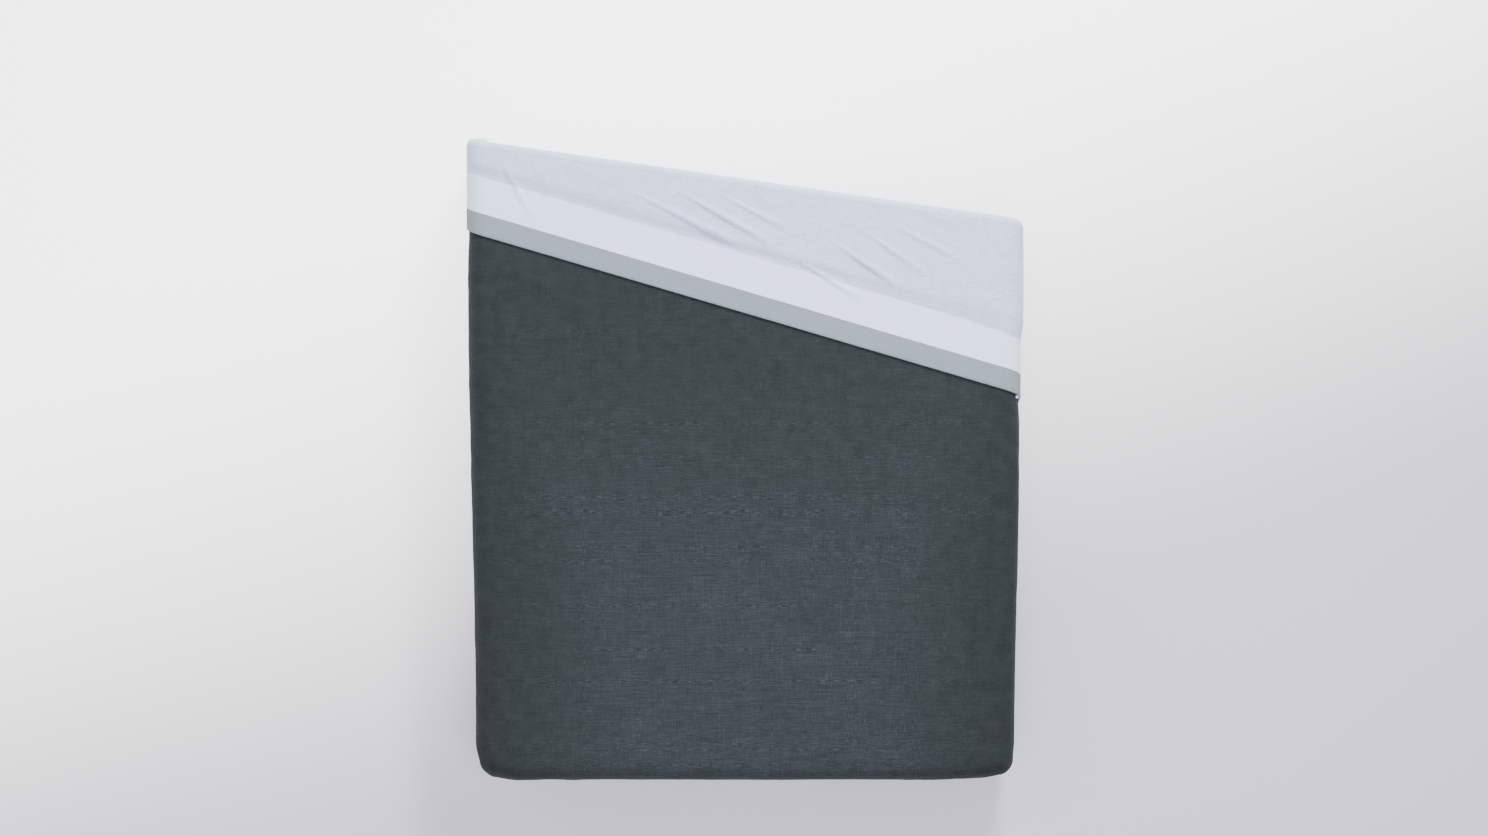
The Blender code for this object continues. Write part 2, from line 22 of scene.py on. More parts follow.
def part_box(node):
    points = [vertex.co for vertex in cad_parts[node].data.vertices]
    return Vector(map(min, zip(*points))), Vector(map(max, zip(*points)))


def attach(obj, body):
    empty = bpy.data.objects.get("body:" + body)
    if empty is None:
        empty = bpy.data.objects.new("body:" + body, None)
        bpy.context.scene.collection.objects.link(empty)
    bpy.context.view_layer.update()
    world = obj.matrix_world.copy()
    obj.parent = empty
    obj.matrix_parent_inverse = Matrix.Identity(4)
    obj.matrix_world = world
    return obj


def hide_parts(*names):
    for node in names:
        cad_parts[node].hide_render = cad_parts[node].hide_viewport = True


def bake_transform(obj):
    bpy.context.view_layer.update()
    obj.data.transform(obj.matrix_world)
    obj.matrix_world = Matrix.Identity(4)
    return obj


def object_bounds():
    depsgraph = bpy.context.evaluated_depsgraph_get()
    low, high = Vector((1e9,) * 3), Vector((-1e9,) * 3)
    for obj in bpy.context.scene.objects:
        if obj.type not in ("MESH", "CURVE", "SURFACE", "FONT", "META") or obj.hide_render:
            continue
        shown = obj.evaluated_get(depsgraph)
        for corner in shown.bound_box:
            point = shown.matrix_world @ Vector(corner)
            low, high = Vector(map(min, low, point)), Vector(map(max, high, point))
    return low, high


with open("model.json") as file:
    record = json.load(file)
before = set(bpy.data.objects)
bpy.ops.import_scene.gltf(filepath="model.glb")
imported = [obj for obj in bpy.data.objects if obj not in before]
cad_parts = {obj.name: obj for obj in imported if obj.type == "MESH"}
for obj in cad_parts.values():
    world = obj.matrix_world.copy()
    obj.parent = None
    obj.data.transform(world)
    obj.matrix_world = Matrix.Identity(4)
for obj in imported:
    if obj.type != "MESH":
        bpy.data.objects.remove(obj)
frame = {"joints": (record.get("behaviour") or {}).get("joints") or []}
CAD_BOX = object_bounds()

LOG = logging.getLogger("duvet")
UV_NAME = "pattern"
LAYER_GAP = 0.0003
FOLD_GAP = 0.0005

Point = tuple[float, float]
Point3 = tuple[float, float, float]
Colour = tuple[float, float, float]
Line = tuple[Vector, Vector]
Place = Callable[[float, float], Vector]
Height = Callable[[float, float], float]


class Side(Enum):
    """The two long sides, named as seen from the foot; the value is the sign of X."""

    LEFT = -1
    RIGHT = 1

    @property
    def word(self) -> str:
        """The side's name as the solids spell it."""
        return self.name.lower()


def smooth(value: float) -> float:
    """Smooth step from 0 at 0 to 1 at 1."""
    t = min(max(value, 0.0), 1.0)
    return t * t * (3 - 2 * t)


def rounded(value: float) -> float:
    """Quarter circle from 0 at 0 to 1 at 1."""
    t = min(max(value, 0.0), 1.0)
    return sqrt(1 - (1 - t) ** 2)


def joint(name: str) -> dict:
    """One joint of the frame."""
    return next(j for j in frame["joints"] if j["name"] == name)


def meet(first: Line, second: Line) -> Vector:
    """Crossing point of two lines of the pattern.

    Args:
        first: A point and a direction.
        second: Another point and direction.

    Returns:
        The point that lies on both.
    """
    (p, d), (q, e) = first, second
    cross = d.x * e.y - d.y * e.x
    gap = q - p
    return p + d * ((gap.x * e.y - gap.y * e.x) / cross)


def spaced(low: float, high: float, step: float) -> list[float]:
    """Even stations from low to high, no further apart than step."""
    count = max(1, round((high - low) / step))
    return [low + (high - low) * i / count for i in range(count + 1)]


def closing(length: float, step: float, tail: Sequence[float]) -> list[float]:
    """Stations from 0 to length that crowd together towards the end.

    Args:
        length: The last station.
        step: Spacing of the even stretch.
        tail: Distances from the end, furthest first, of the crowded stations.

    Returns:
        The stations, rising.
    """
    return spaced(0.0, length - tail[0], step) + [length - t for t in tail[1:]] + [length]


# --- sizes ---------------------------------------------------------------------------------------


@dataclass(frozen=True)
class Layout:
    """Driving sizes of the draped duvet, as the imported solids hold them."""

    thickness: float
    inner_half: float
    core_half: float
    foot_reach: float
    side_hem_z: float
    foot_hem_z: float
    fold_at: float
    slant: float
    edge_at: float
    turned_under: float
    turned_top: float
    hem_top: float
    trim_top: float
    band_depth: float
    trim_end: float
    insert_stop: float

    @classmethod
    def read(cls) -> "Layout":
        """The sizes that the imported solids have."""
        face_low, face_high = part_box("cover_face_body")
        turned_low, turned_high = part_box("cover_face_turnback")
        reverse_low, reverse_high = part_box("cover_reverse_turnback")
        fold = joint("turnback_fold")
        slant = atan2(abs(fold["axis"][1]), abs(fold["axis"][0]))
        rise = tan(2 * slant) * turned_high.x
        edge_at = turned_low.y + rise

        def depth(y: float, x_sign: int) -> float:
            """Distance of a cross line from the free edge, by its y at one side."""
            return (y + x_sign * rise - edge_at) * cos(2 * slant)

        return cls(
            thickness=face_high.z,
            inner_half=face_high.x - face_high.z,
            core_half=turned_high.x,
            foot_reach=-face_low.y - face_high.z,
            side_hem_z=face_low.z,
            foot_hem_z=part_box("zip_tape_face")[1].z + LAYER_GAP,
            fold_at=fold["pos_m"][1],
            slant=slant,
            edge_at=edge_at,
            turned_under=turned_low.z,
            turned_top=reverse_high.z,
            hem_top=reverse_low.z + 4 * LAYER_GAP,
            trim_top=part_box("border_band_turnback")[1].z,
            band_depth=depth(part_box("border_band_turnback")[1].y, -1),
            trim_end=depth(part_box("hem_facing_turnback")[1].y, -1),
            insert_stop=depth(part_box("ticking_upper_turnback")[0].y, 1),
        )

    @property
    def edge_radius(self) -> float:
        """Radius of the bend's inner side."""
        return self.inner_half - self.core_half

    @property
    def core_foot(self) -> float:
        """Where the flat top ends at the foot."""
        return self.edge_radius - self.foot_reach

    @property
    def bend(self) -> float:
        """Length of the body's bend at half its thickness."""
        return pi / 2 * (self.edge_radius + self.thickness / 2)

    @property
    def side_reach(self) -> float:
        """Length of the cloth from the flat top's edge to the side hem."""
        return self.bend - self.side_hem_z - self.edge_radius

    @property
    def foot_hem_reach(self) -> float:
        """Length of the cloth from the flat top's edge to the foot hem."""
        return self.bend - self.foot_hem_z - self.edge_radius

    @property
    def turned_bend(self) -> float:
        """Length of the turned-back end's bend at half its thickness."""
        return pi / 2 * (self.edge_radius + (self.turned_under + self.turned_top) / 2)

    @property
    def half_cut(self) -> float:
        """Half of the duvet's cut width."""
        return self.core_half + self.side_reach

    def fold_y(self, x: float) -> float:
        """Where the fold crosses the pattern at x."""
        return self.fold_at - tan(self.slant) * x

    def body_end(self, x: float) -> float:
        """Head end of the body's cloth at x, a little short of the fold."""
        return self.fold_y(x) - FOLD_GAP / cos(self.slant)

    def free_y(self, x: float) -> float:
        """Where the turned-back free edge crosses the pattern at x."""
        return self.edge_at - tan(2 * self.slant) * x

    def from_free(self, x: float, y: float) -> float:
        """Distance of a pattern point from the free edge, towards the fold."""
        return (y - self.free_y(x)) * cos(2 * self.slant)

    def hem_x(self, side: Side, y: float) -> float:
        """Where the turned-back side hem crosses the pattern at y."""
        edge = side.value * self.half_cut
        return edge + (y - self.fold_y(edge)) * tan(2 * self.slant)

    def hem_reach(self, turn: float) -> float:
        """Length of the hang at a turn from 0, facing the side, to 1, facing the foot."""
        share = sin(turn * pi / 2) ** 2
        return self.side_reach + (self.foot_hem_reach - self.side_reach) * share


@dataclass(frozen=True)
class Crease:
    """A soft ridge pressed in the cloth, between two pattern points."""

    start: Point
    end: Point
    width: float
    height: float

    def at(self, x: float, y: float) -> float:
        """Height of the ridge at a pattern point.

        Args:
            x: Pattern point, across.
            y: Pattern point, along.

        Returns:
            Height in metres, fading to nothing at both ends and to the sides.
        """
        start, end = Vector(self.start), Vector(self.end)
        run = end - start
        share = (Vector((x, y)) - start).dot(run) / run.length_squared
        if not 0 < share < 1:
            return 0.0
        off = (Vector((x, y)) - start - run * share).length / (self.width * (0.6 + share))
        return self.height * sin(pi * share) * max(0.0, 1 - off * off) ** 2


@dataclass(frozen=True)
class Drape:
    """How the pattern hangs: over the bend, down the sides and round the foot corners."""

    layout: Layout
    hem_share: float = 0.16
    hem_round: float = 0.050
    sway: float = 0.016
    flute: float = 0.011
    corner_pull: float = 0.020
    corner_size: float = 0.085
    insert_taper: float = 0.028
    insert_inset: float = 0.012
    insert_round: float = 0.045
    pinch_share: float = 0.35
    pinch_round: float = 0.016
    face_creases: tuple[Crease, ...] = (
        Crease((-0.70, 0.44), (-0.42, 0.30), 0.013, 0.0040),
        Crease((-0.66, 0.46), (-0.34, 0.35), 0.012, 0.0045),
        Crease((-0.60, 0.43), (-0.26, 0.37), 0.011, 0.0035),
        Crease((-0.74, 0.42), (-0.68, 0.18), 0.016, 0.0030),
        Crease((0.20, -0.01), (0.38, -0.04), 0.010, 0.0022),
    )
    turned_creases: tuple[Crease, ...] = (
        Crease((-0.34, 0.66), (0.02, 0.48), 0.013, 0.0070),
        Crease((-0.20, 0.66), (0.10, 0.49), 0.012, 0.0085),
        Crease((-0.08, 0.65), (0.15, 0.53), 0.010, 0.0060),
        Crease((0.16, 0.45), (0.36, 0.33), 0.011, 0.0065),
        Crease((0.25, 0.51), (0.46, 0.37), 0.012, 0.0085),
        Crease((0.33, 0.55), (0.53, 0.41), 0.010, 0.0070),
        Crease((0.42, 0.56), (0.64, 0.45), 0.011, 0.0055),
        Crease((-0.70, 0.74), (-0.60, 0.56), 0.013, 0.0050),
    )

    def swell(self, distance: float) -> float:
        """Share of the full thickness at a distance from the hem."""
        return self.hem_share + (1 - self.hem_share) * rounded(distance / self.hem_round)

    def hang(self, reach: float, height: float, bend: float) -> Point:
        """Outward and upward place of a point past the flat top's edge.

        Args:
            reach: Distance past the edge, along the cloth.
            height: Height above the inner side.
            bend: Length of the bend.

        Returns:
            Distance out from the edge, and height.
        """
        radius = self.layout.edge_radius
        if reach < bend:
            angle = reach / bend * pi / 2
            return (radius + height) * sin(angle), (radius + height) * cos(angle) - radius
        return radius + height, -radius - (reach - bend)

    def swayed(self, base: Vector, outward: Vector, up: float, turn: float) -> float:
        """How far the hanging cloth swings out of its plane.

        Args:
            base: Nearest point of the flat top.
            outward: Unit direction away from it.
            up: Height of the point.
            turn: From 0, facing the side, to 1, facing the foot.

        Returns:
            Distance along outward.
        """
        drop = max(0.0, -up - self.layout.edge_radius)
        foot_depth = -self.layout.foot_hem_z - self.layout.edge_radius
        side = smooth(drop / 0.26)
        foot = 4 * min(drop / foot_depth, 1.0) * (1 - min(drop / foot_depth, 1.0))
        place = (base + outward * self.layout.edge_radius) * 2.6
        wave = noise.noise(Vector((place.x, place.y, up * 1.6 + 4.0)))
        wave += 0.35 * noise.noise(Vector((place.x * 2.7, place.y * 2.7, up * 3.0)))
        flutes = self.flute * sin(pi * turn) ** 2 * cos(4 * pi * turn) * smooth(drop / 0.2)
        near_fold = 0.28 + 0.72 * smooth((0.25 - base.y) / 0.55)
        return self.sway * wave * (side * near_fold * (1 - turn) + 0.45 * foot * turn) + flutes

    def settled(self, place: Vector) -> Vector:
        """The place as the duvet lies: narrower to the foot, its foot corners drawn in unevenly."""
        moved = place.copy()
        if place.x < 0:
            moved.x *= 1.006 - 0.029 * smooth((0.32 - place.y) / 1.35)
        else:
            moved.x *= 1.003 - 0.018 * smooth((-0.15 - place.y) / 0.90)
        moved.y += 0.010 * smooth((place.x - 0.57) / 0.20) * smooth((-0.75 - place.y) / 0.30)
        for side, pull in ((-1, self.corner_pull), (1, 0.4 * self.corner_pull)):
            tip = Vector((side * self.layout.inner_half, -self.layout.foot_reach))
            away = (Vector((place.x, place.y)) - tip).length / self.corner_size
            move = pull * max(0.0, 1 - away * away) ** 2 / sqrt(2)
            moved += Vector((-side * move, move, 0))
        return moved

    def turn(self, past_side: float, past_foot: float) -> float:
        """Share of the quarter turn round a foot corner."""
        return atan2(past_foot, past_side) / (pi / 2) if past_foot else 0.0

    def hem_distance(self, x: float, y: float) -> float:
        """Distance along the cloth from a pattern point of the body to the hem."""
        lay = self.layout
        past_side, past_foot = max(abs(x) - lay.core_half, 0.0), max(lay.core_foot - y, 0.0)
        turn = self.turn(past_side, past_foot)
        return lay.hem_reach(turn) - hypot(past_side, past_foot)

    def body(self, x: float, y: float, height: float) -> Vector:
        """World place of a pattern point of the body.

        Args:
            x: Pattern point, across.
            y: Pattern point, along.
            height: Height above the inner side, before the hem draws it in.

        Returns:
            The place.
        """
        lay = self.layout
        past_side, past_foot = max(abs(x) - lay.core_half, 0.0), max(lay.core_foot - y, 0.0)
        reach = hypot(past_side, past_foot)
        if reach < 1e-9:
            return self.settled(Vector((x, y, height)))
        side = 1 if x > 0 else -1
        middle = lay.thickness / 2
        level = middle + (height - middle) * self.swell(self.hem_distance(x, y))
        out, up = self.hang(reach, level, lay.bend)
        base = Vector((side * min(abs(x), lay.core_half), max(y, lay.core_foot), 0))
        outward = Vector((side * past_side, -past_foot, 0)) / reach
        out += self.swayed(base, outward, up, self.turn(past_side, past_foot))
        return self.settled(base + outward * out + Vector((0, 0, up)))

    def insert_share(self, x: float, y: float) -> float:
        """How much of the insert's loft the turned-back end has at a pattern point."""
        lay = self.layout
        taper = self.insert_taper
        share = smooth((lay.from_free(x, y) - lay.insert_stop + taper) / taper)
        if x < 0:
            return share * (1 - smooth((-x - lay.core_half) / lay.turned_bend))
        near = (lay.hem_x(Side.RIGHT, y) - x) * cos(2 * lay.slant)
        return share * rounded((near - self.insert_inset) / self.insert_round)

    def pinch(self, x: float, y: float) -> float:
        """How much of its thickness the turned-back hem keeps near its side edge."""
        side = Side.RIGHT if x > 0 else Side.LEFT
        near = abs(self.layout.hem_x(side, y) - x) * cos(2 * self.layout.slant)
        return self.pinch_share + (1 - self.pinch_share) * rounded(near / self.pinch_round)

    def turned(self, x: float, y: float, height: float) -> Vector:
        """World place of a pattern point of the turned-back end.

        Args:
            x: Pattern point, across.
            y: Pattern point, along.
            height: Height above the turned-back end's underside.

        Returns:
            The place.
        """
        lay = self.layout
        out = abs(x) - lay.core_half
        if out <= 1e-9:
            return self.settled(Vector((x, y, lay.turned_under + height)))
        side = 1 if x > 0 else -1
        middle = (lay.hem_top - lay.turned_under) / 2
        level = lay.turned_under + middle + (height - middle) * self.pinch(x, y)
        across, up = self.hang(out, level, lay.turned_bend)
        base, outward = Vector((side * lay.core_half, y, 0)), Vector((side, 0, 0))
        across += self.swayed(base, outward, up, 0.0)
        return self.settled(base + outward * across + Vector((0, 0, up)))

    def reverse_height(self, x: float, y: float) -> float:
        """Height of the turned-back reverse's outer side."""
        lay = self.layout
        low, high = lay.hem_top - lay.turned_under, lay.turned_top - lay.turned_under
        return low + (high - low) * self.insert_share(x, y)

    def face_relief(self, x: float, y: float) -> float:
        """Low swells and creases of the cover's face, always outward of the insert."""
        lay = self.layout
        clear = smooth((lay.free_y(x) - 0.030 - y) / 0.060)
        clear *= smooth(self.hem_distance(x, y) / 0.03)
        swell = 0.0013 * (0.6 + noise.noise(Vector((x * 3.1, y * 2.7, 0.0))))
        swell += 0.0007 * (0.6 + noise.noise(Vector((x * 11.0, y * 8.0, 3.0))))
        hanging = smooth((max(abs(x) - lay.core_half, lay.core_foot - y)) / 0.08)
        pucker = noise.noise(Vector((x * 9.0, y * 20.0, 7.0))) if hanging else 0.0
        swell += 0.0012 * hanging * (0.5 + pucker)
        return clear * (max(0.0, swell) + sum(c.at(x, y) for c in self.face_creases))

    def turned_relief(self, x: float, y: float) -> float:
        """Low swells and creases of the turned-back reverse, always outward."""
        swell = 0.0010 * (0.6 + noise.noise(Vector((x * 4.0, y * 5.0, 11.0))))
        swell += 0.0005 * (0.6 + noise.noise(Vector((x * 14.0, y * 12.0, 5.0))))
        near = smooth(self.layout.from_free(x, y) / 0.12)
        return 0.35 * max(0.0, swell) + near * (
            0.65 * max(0.0, swell) + sum(c.at(x, y) for c in self.turned_creases)
        )


# --- shader graphs -------------------------------------------------------------------------------


class Graph:
    """Short calls that build one node tree."""

    def __init__(self, tree: bpy.types.NodeTree) -> None:
        """Keeps the tree that the nodes go in."""
        self.tree = tree

    def node(self, kind: str, **settings: object) -> bpy.types.Node:
        """Adds a node.

        Args:
            kind: The node's type name.
            settings: Attributes to set on it.

        Returns:
            The node.
        """
        made = self.tree.nodes.new(kind)
        for name, value in settings.items():
            setattr(made, name, value)
        return made

    def feed(self, socket: bpy.types.NodeSocket, value: object) -> None:
        """Links a socket to value, or sets it to value if that is no socket."""
        if isinstance(value, bpy.types.NodeSocket):
            self.tree.links.new(value, socket)
        else:
            socket.default_value = value

    def math(self, operation: str, first: object, second: object = 0.0) -> bpy.types.NodeSocket:
        """Adds a Math node.

        Args:
            operation: What it works out.
            first: A number or a socket.
            second: A number or a socket.

        Returns:
            Its output.
        """
        made = self.node("ShaderNodeMath", operation=operation)
        self.feed(made.inputs[0], first)
        self.feed(made.inputs[1], second)
        return made.outputs[0]

    def mix(self, share: object, first: object, second: object) -> bpy.types.NodeSocket:
        """Adds a colour mix.

        Args:
            share: How much of the second colour.
            first: A colour or a socket.
            second: A colour or a socket.

        Returns:
            The mixed colour.
        """
        made = self.node("ShaderNodeMix", data_type="RGBA")
        for index, value in ((0, share), (6, first), (7, second)):
            self.feed(made.inputs[index], value)
        return made.outputs[2]

    def stretched(self, vector: object, scale: Sequence[float]) -> bpy.types.NodeSocket:
        """The vector scaled on each axis."""
        made = self.node("ShaderNodeMapping")
        self.feed(made.inputs["Vector"], vector)
        made.inputs["Scale"].default_value = scale
        return made.outputs[0]

    def noise(self, vector: object, scale: float, detail: float = 2.0) -> bpy.types.NodeSocket:
        """A noise texture's value, round a half.

        Args:
            vector: Where it is read.
            scale: Its frequency.
            detail: Number of finer layers.

        Returns:
            The value.
        """
        made = self.node("ShaderNodeTexNoise")
        self.feed(made.inputs["Vector"], vector)
        made.inputs["Scale"].default_value = scale
        made.inputs["Detail"].default_value = detail
        return made.outputs[0]

    def streaks(
        self, vector: object, row: Point3, shift: Point3, scale: Point3
    ) -> bpy.types.NodeSocket:
        """Uneven yarns that lie side by side, each with its own start.

        Args:
            vector: Where it is read.
            row: Scale that tells one yarn from the next.
            shift: How far each yarn starts from its neighbours.
            scale: Frequency along and across the yarns.

        Returns:
            The value, round a half.
        """
        own = self.noise(self.stretched(vector, row), 1.0, 0.0)
        moved = self.node("ShaderNodeVectorMath", operation="MULTIPLY_ADD")
        for index, value in enumerate((own, shift, vector)):
            self.feed(moved.inputs[index], value)
        return self.noise(self.stretched(moved.outputs[0], scale), 1.0, 2.0)

    def ranged(self, value: object, low: float, high: float) -> bpy.types.NodeSocket:
        """The value's place between low and high, from 0 to 1, smoothly."""
        made = self.node("ShaderNodeMapRange", interpolation_type="SMOOTHSTEP")
        self.feed(made.inputs[0], value)
        made.inputs[1].default_value = low
        made.inputs[2].default_value = high
        return made.outputs[0]


def shader_group(name: str, inputs: dict[str, str], outputs: dict[str, str]) -> tuple[Graph, dict, dict]:
    """Starts a shared node group.

    Args:
        name: The group's name.
        inputs: Socket types by name.
        outputs: Socket types by name.

    Returns:
        Its graph, its input sockets by name and its output sockets by name.
    """
    tree = bpy.data.node_groups.new(name, "ShaderNodeTree")
    for socket, kind in inputs.items():
        tree.interface.new_socket(name=socket, in_out="INPUT", socket_type=kind)
    for socket, kind in outputs.items():
        tree.interface.new_socket(name=socket, in_out="OUTPUT", socket_type=kind)
    graph = Graph(tree)
    into, out = graph.node("NodeGroupInput"), graph.node("NodeGroupOutput")
    return graph, dict(into.outputs.items()), dict(out.inputs.items())


VECTOR, FLOAT = "NodeSocketVector", "NodeSocketFloat"


def yarn_group() -> bpy.types.NodeTree:
    """Plain weave with uneven yarns.

    Returns:
        The group. Pattern is in metres and Pitch is yarns per metre; Tone is the yarns' shade round
        a half, and Relief their height.
    """
    graph, source, out = shader_group(
        "uneven_yarns",
        {"Pattern": VECTOR, "Pitch": FLOAT, "Slub": FLOAT},
        {"Tone": FLOAT, "Relief": FLOAT},
    )
    split = graph.node("ShaderNodeSeparateXYZ")
    graph.feed(split.inputs[0], source["Pattern"])
    wobble = graph.noise(source["Pattern"], 45.0)
    waves = []
    for axis in (0, 1):
        along = graph.math("ADD", split.outputs[axis], graph.math("MULTIPLY", wobble, 0.0012))
        turns = graph.math("MULTIPLY", graph.math("MULTIPLY", along, source["Pitch"]), pi)
        waves.append(graph.math("SINE", turns))
    weave = graph.math("MULTIPLY", waves[0], waves[1])
    weft = graph.streaks(source["Pattern"], (0.0, 230.0, 0.0), (1.3, 0.0, 0.0), (46.0, 560.0, 1.0))
    warp = graph.streaks(source["Pattern"], (250.0, 0.0, 0.0), (0.0, 1.3, 0.0), (520.0, 52.0, 1.0))
    warp = graph.math("MULTIPLY", graph.ranged(warp, 0.40, 0.80), 0.75)
    slubs = graph.math("ADD", graph.ranged(weft, 0.36, 0.74), warp)
    fine = graph.noise(graph.stretched(source["Pattern"], (150.0, 900.0, 1.0)), 1.0, 1.0)
    tone = graph.math("MULTIPLY", graph.math("SUBTRACT", slubs, 0.75), source["Slub"])
    tone = graph.math("ADD", tone, graph.math("MULTIPLY", graph.math("SUBTRACT", fine, 0.5), 0.5))
    graph.feed(out["Tone"], graph.math("ADD", tone, 0.5))
    thick = graph.math("MULTIPLY", slubs, source["Slub"])
    relief = graph.math("ADD", graph.math("MULTIPLY", weave, 0.5), thick)
    graph.feed(out["Relief"], relief)
    return graph.tree


def drift_group() -> bpy.types.NodeTree:
    """Slow change of tone over a cloth, and painted shade towards its edges.

    Returns:
        The group. Broad is its large patches, Fine its small ones, both round a half. PaintedShade is
        painted shade that grows from the middle of the cloth to its sides and head, and over the bends.
    """
    graph, source, out = shader_group(
        "shade_drift", {"Pattern": VECTOR}, {"Broad": FLOAT, "Fine": FLOAT, "PaintedShade": FLOAT}
    )
    split = graph.node("ShaderNodeSeparateXYZ")
    graph.feed(split.inputs[0], source["Pattern"])
    off = graph.math("ABSOLUTE", split.outputs[0])
    # Painted shade: darker towards the sides and the head, and most over the bends at the sides and foot.
    sides = graph.math("MULTIPLY", graph.ranged(off, 0.30, 0.84), 0.72)
    head = graph.math("MULTIPLY", graph.ranged(split.outputs[1], -0.70, 0.40), 0.62)
    foot = graph.ranged(graph.math("MULTIPLY", split.outputs[1], -1.0), 1.00, 1.06)
    edge = graph.math("MAXIMUM", graph.ranged(off, 0.735, 0.81), foot)
    spread = graph.math("MAXIMUM", sides, head)
    graph.feed(out["PaintedShade"], graph.math("ADD", spread, graph.math("MULTIPLY", edge, 0.28)))
    broad = graph.noise(source["Pattern"], 4.6, 3.0)
    fine = graph.noise(source["Pattern"], 26.0, 4.0)
    graph.feed(out["Broad"], graph.ranged(broad, 0.30, 0.72))
    graph.feed(out["Fine"], graph.ranged(fine, 0.28, 0.74))
    return graph.tree


def rumple_group() -> bpy.types.NodeTree:
    """Small crumples of washed cloth.

    Returns:
        The group, whose Relief is the crumples' height.
    """
    graph, source, out = shader_group("washed_rumple", {"Pattern": VECTOR}, {"Relief": FLOAT})
    bent = graph.noise(source["Pattern"], 9.0, 2.0)
    shifted = graph.node("ShaderNodeVectorMath", operation="ADD")
    graph.feed(shifted.inputs[0], source["Pattern"])
    graph.feed(shifted.inputs[1], bent)
    ridges = graph.noise(shifted.outputs[0], 18.0, 3.0)
    folded = graph.math("ABSOLUTE", graph.math("SUBTRACT", ridges, 0.5))
    graph.feed(out["Relief"], graph.ranged(folded, 0.0, 0.14))
    return graph.tree


def grouped(graph: Graph, tree: bpy.types.NodeTree, **values: object) -> bpy.types.Node:
    """Places a shared group.

    Args:
        graph: The material's graph.
        tree: The group.
        values: Its inputs by name.

    Returns:
        The group's node.
    """
    made = graph.node("ShaderNodeGroup", node_tree=tree)
    for name, value in values.items():
        graph.feed(made.inputs[name], value)
    return made


def start_material(name: str) -> tuple[bpy.types.Material, Graph, bpy.types.Node]:
    """Starts a material.

    Args:
        name: Its name.

    Returns:
        The material, its graph and its Principled shader.
    """
    made = bpy.data.materials.new(name)
    made.use_nodes = True
    graph = Graph(made.node_tree)
    return made, graph, made.node_tree.nodes["Principled BSDF"]


@dataclass(frozen=True)
class ClothFinish:
    """A woven cloth: its yarns' colours, their size, how it takes the light, and its painted shade."""

    name: str
    dark: Colour
    light: Colour
    drift: Colour
    pitch: float
    slub: float
    roughness: float
    weave_depth: float
    rumple_depth: float
    drift_share: float
    # How far painted shade darkens the cloth towards its sides, head and bends.
    painted_shade_share: float = 0.0
    sheen: float = 0.05

    def material(self, kit: "Kit") -> bpy.types.Material:
        """Builds the material.

        Args:
            kit: The shared groups.

        Returns:
            The material.
        """
        made, graph, shader = start_material(self.name)
        pattern = graph.node("ShaderNodeUVMap", uv_map=UV_NAME).outputs[0]
        yarns = grouped(graph, kit.yarns, Pattern=pattern, Pitch=self.pitch, Slub=self.slub)
        drift = grouped(graph, kit.drift, Pattern=pattern)
        rumple = grouped(graph, kit.rumple, Pattern=pattern)
        shade = graph.mix(yarns.outputs["Tone"], (*self.dark, 1), (*self.light, 1))
        patchy = graph.math("MULTIPLY", drift.outputs["Broad"], self.drift_share)
        # Painted shade: the colour deepens towards a darker drift colour at the sides, head and bends.
        rim = graph.math("MULTIPLY", drift.outputs["PaintedShade"], self.painted_shade_share)
        shade = graph.mix(rim, shade, tuple(0.62 * c for c in self.drift) + (1,))
        shade = graph.mix(patchy, shade, (*self.drift, 1))
        worn = graph.math("MULTIPLY", drift.outputs["Fine"], 0.09)
        graph.feed(shader.inputs["Base Color"], graph.mix(worn, shade, (*self.light, 1)))
        rough = graph.math("MULTIPLY", yarns.outputs["Tone"], 0.12)
        graph.feed(shader.inputs["Roughness"], graph.math("ADD", rough, self.roughness - 0.06))
        shader.inputs["Sheen Weight"].default_value = self.sheen
        shader.inputs["Sheen Roughness"].default_value = 0.45
        shader.inputs["Specular IOR Level"].default_value = 0.15
        crumple = graph.node("ShaderNodeBump")
        crumple.inputs["Distance"].default_value = self.rumple_depth
        crumple.inputs["Strength"].default_value = 0.6
        graph.feed(crumple.inputs["Height"], rumple.outputs["Relief"])
        bump = graph.node("ShaderNodeBump")
        bump.inputs["Distance"].default_value = self.weave_depth
        bump.inputs["Strength"].default_value = 0.7
        graph.feed(bump.inputs["Height"], yarns.outputs["Relief"])
        graph.feed(bump.inputs["Normal"], crumple.outputs[0])
        graph.feed(shader.inputs["Normal"], bump.outputs[0])
        return made


@dataclass(frozen=True)
class FibreFinish:
    """Loose fibre fill: matted strands with pale and shaded clumps."""

    name: str
    pale: Colour
    shaded: Colour

    def material(self, kit: "Kit") -> bpy.types.Material:
        """Builds the material from the shared shade drift of kit."""
        made, graph, shader = start_material(self.name)
        place = graph.node("ShaderNodeTexCoord").outputs["Object"]
        drift = grouped(graph, kit.drift, Pattern=place)
        strands = graph.noise(graph.stretched(place, (90.0, 420.0, 260.0)), 1.0, 4.0)
        clumps = graph.mix(drift.outputs["Fine"], (*self.shaded, 1), (*self.pale, 1))
        graph.feed(shader.inputs["Base Color"], graph.mix(strands, clumps, (*self.pale, 1)))
        graph.feed(shader.inputs["Roughness"], graph.ranged(strands, -1.6, 0.9))
        shader.inputs["Sheen Weight"].default_value = 0.3
        bump = graph.node("ShaderNodeBump")
        bump.inputs["Distance"].default_value = 0.002
        graph.feed(bump.inputs["Height"], strands)
        graph.feed(shader.inputs["Normal"], bump.outputs[0])
        return made


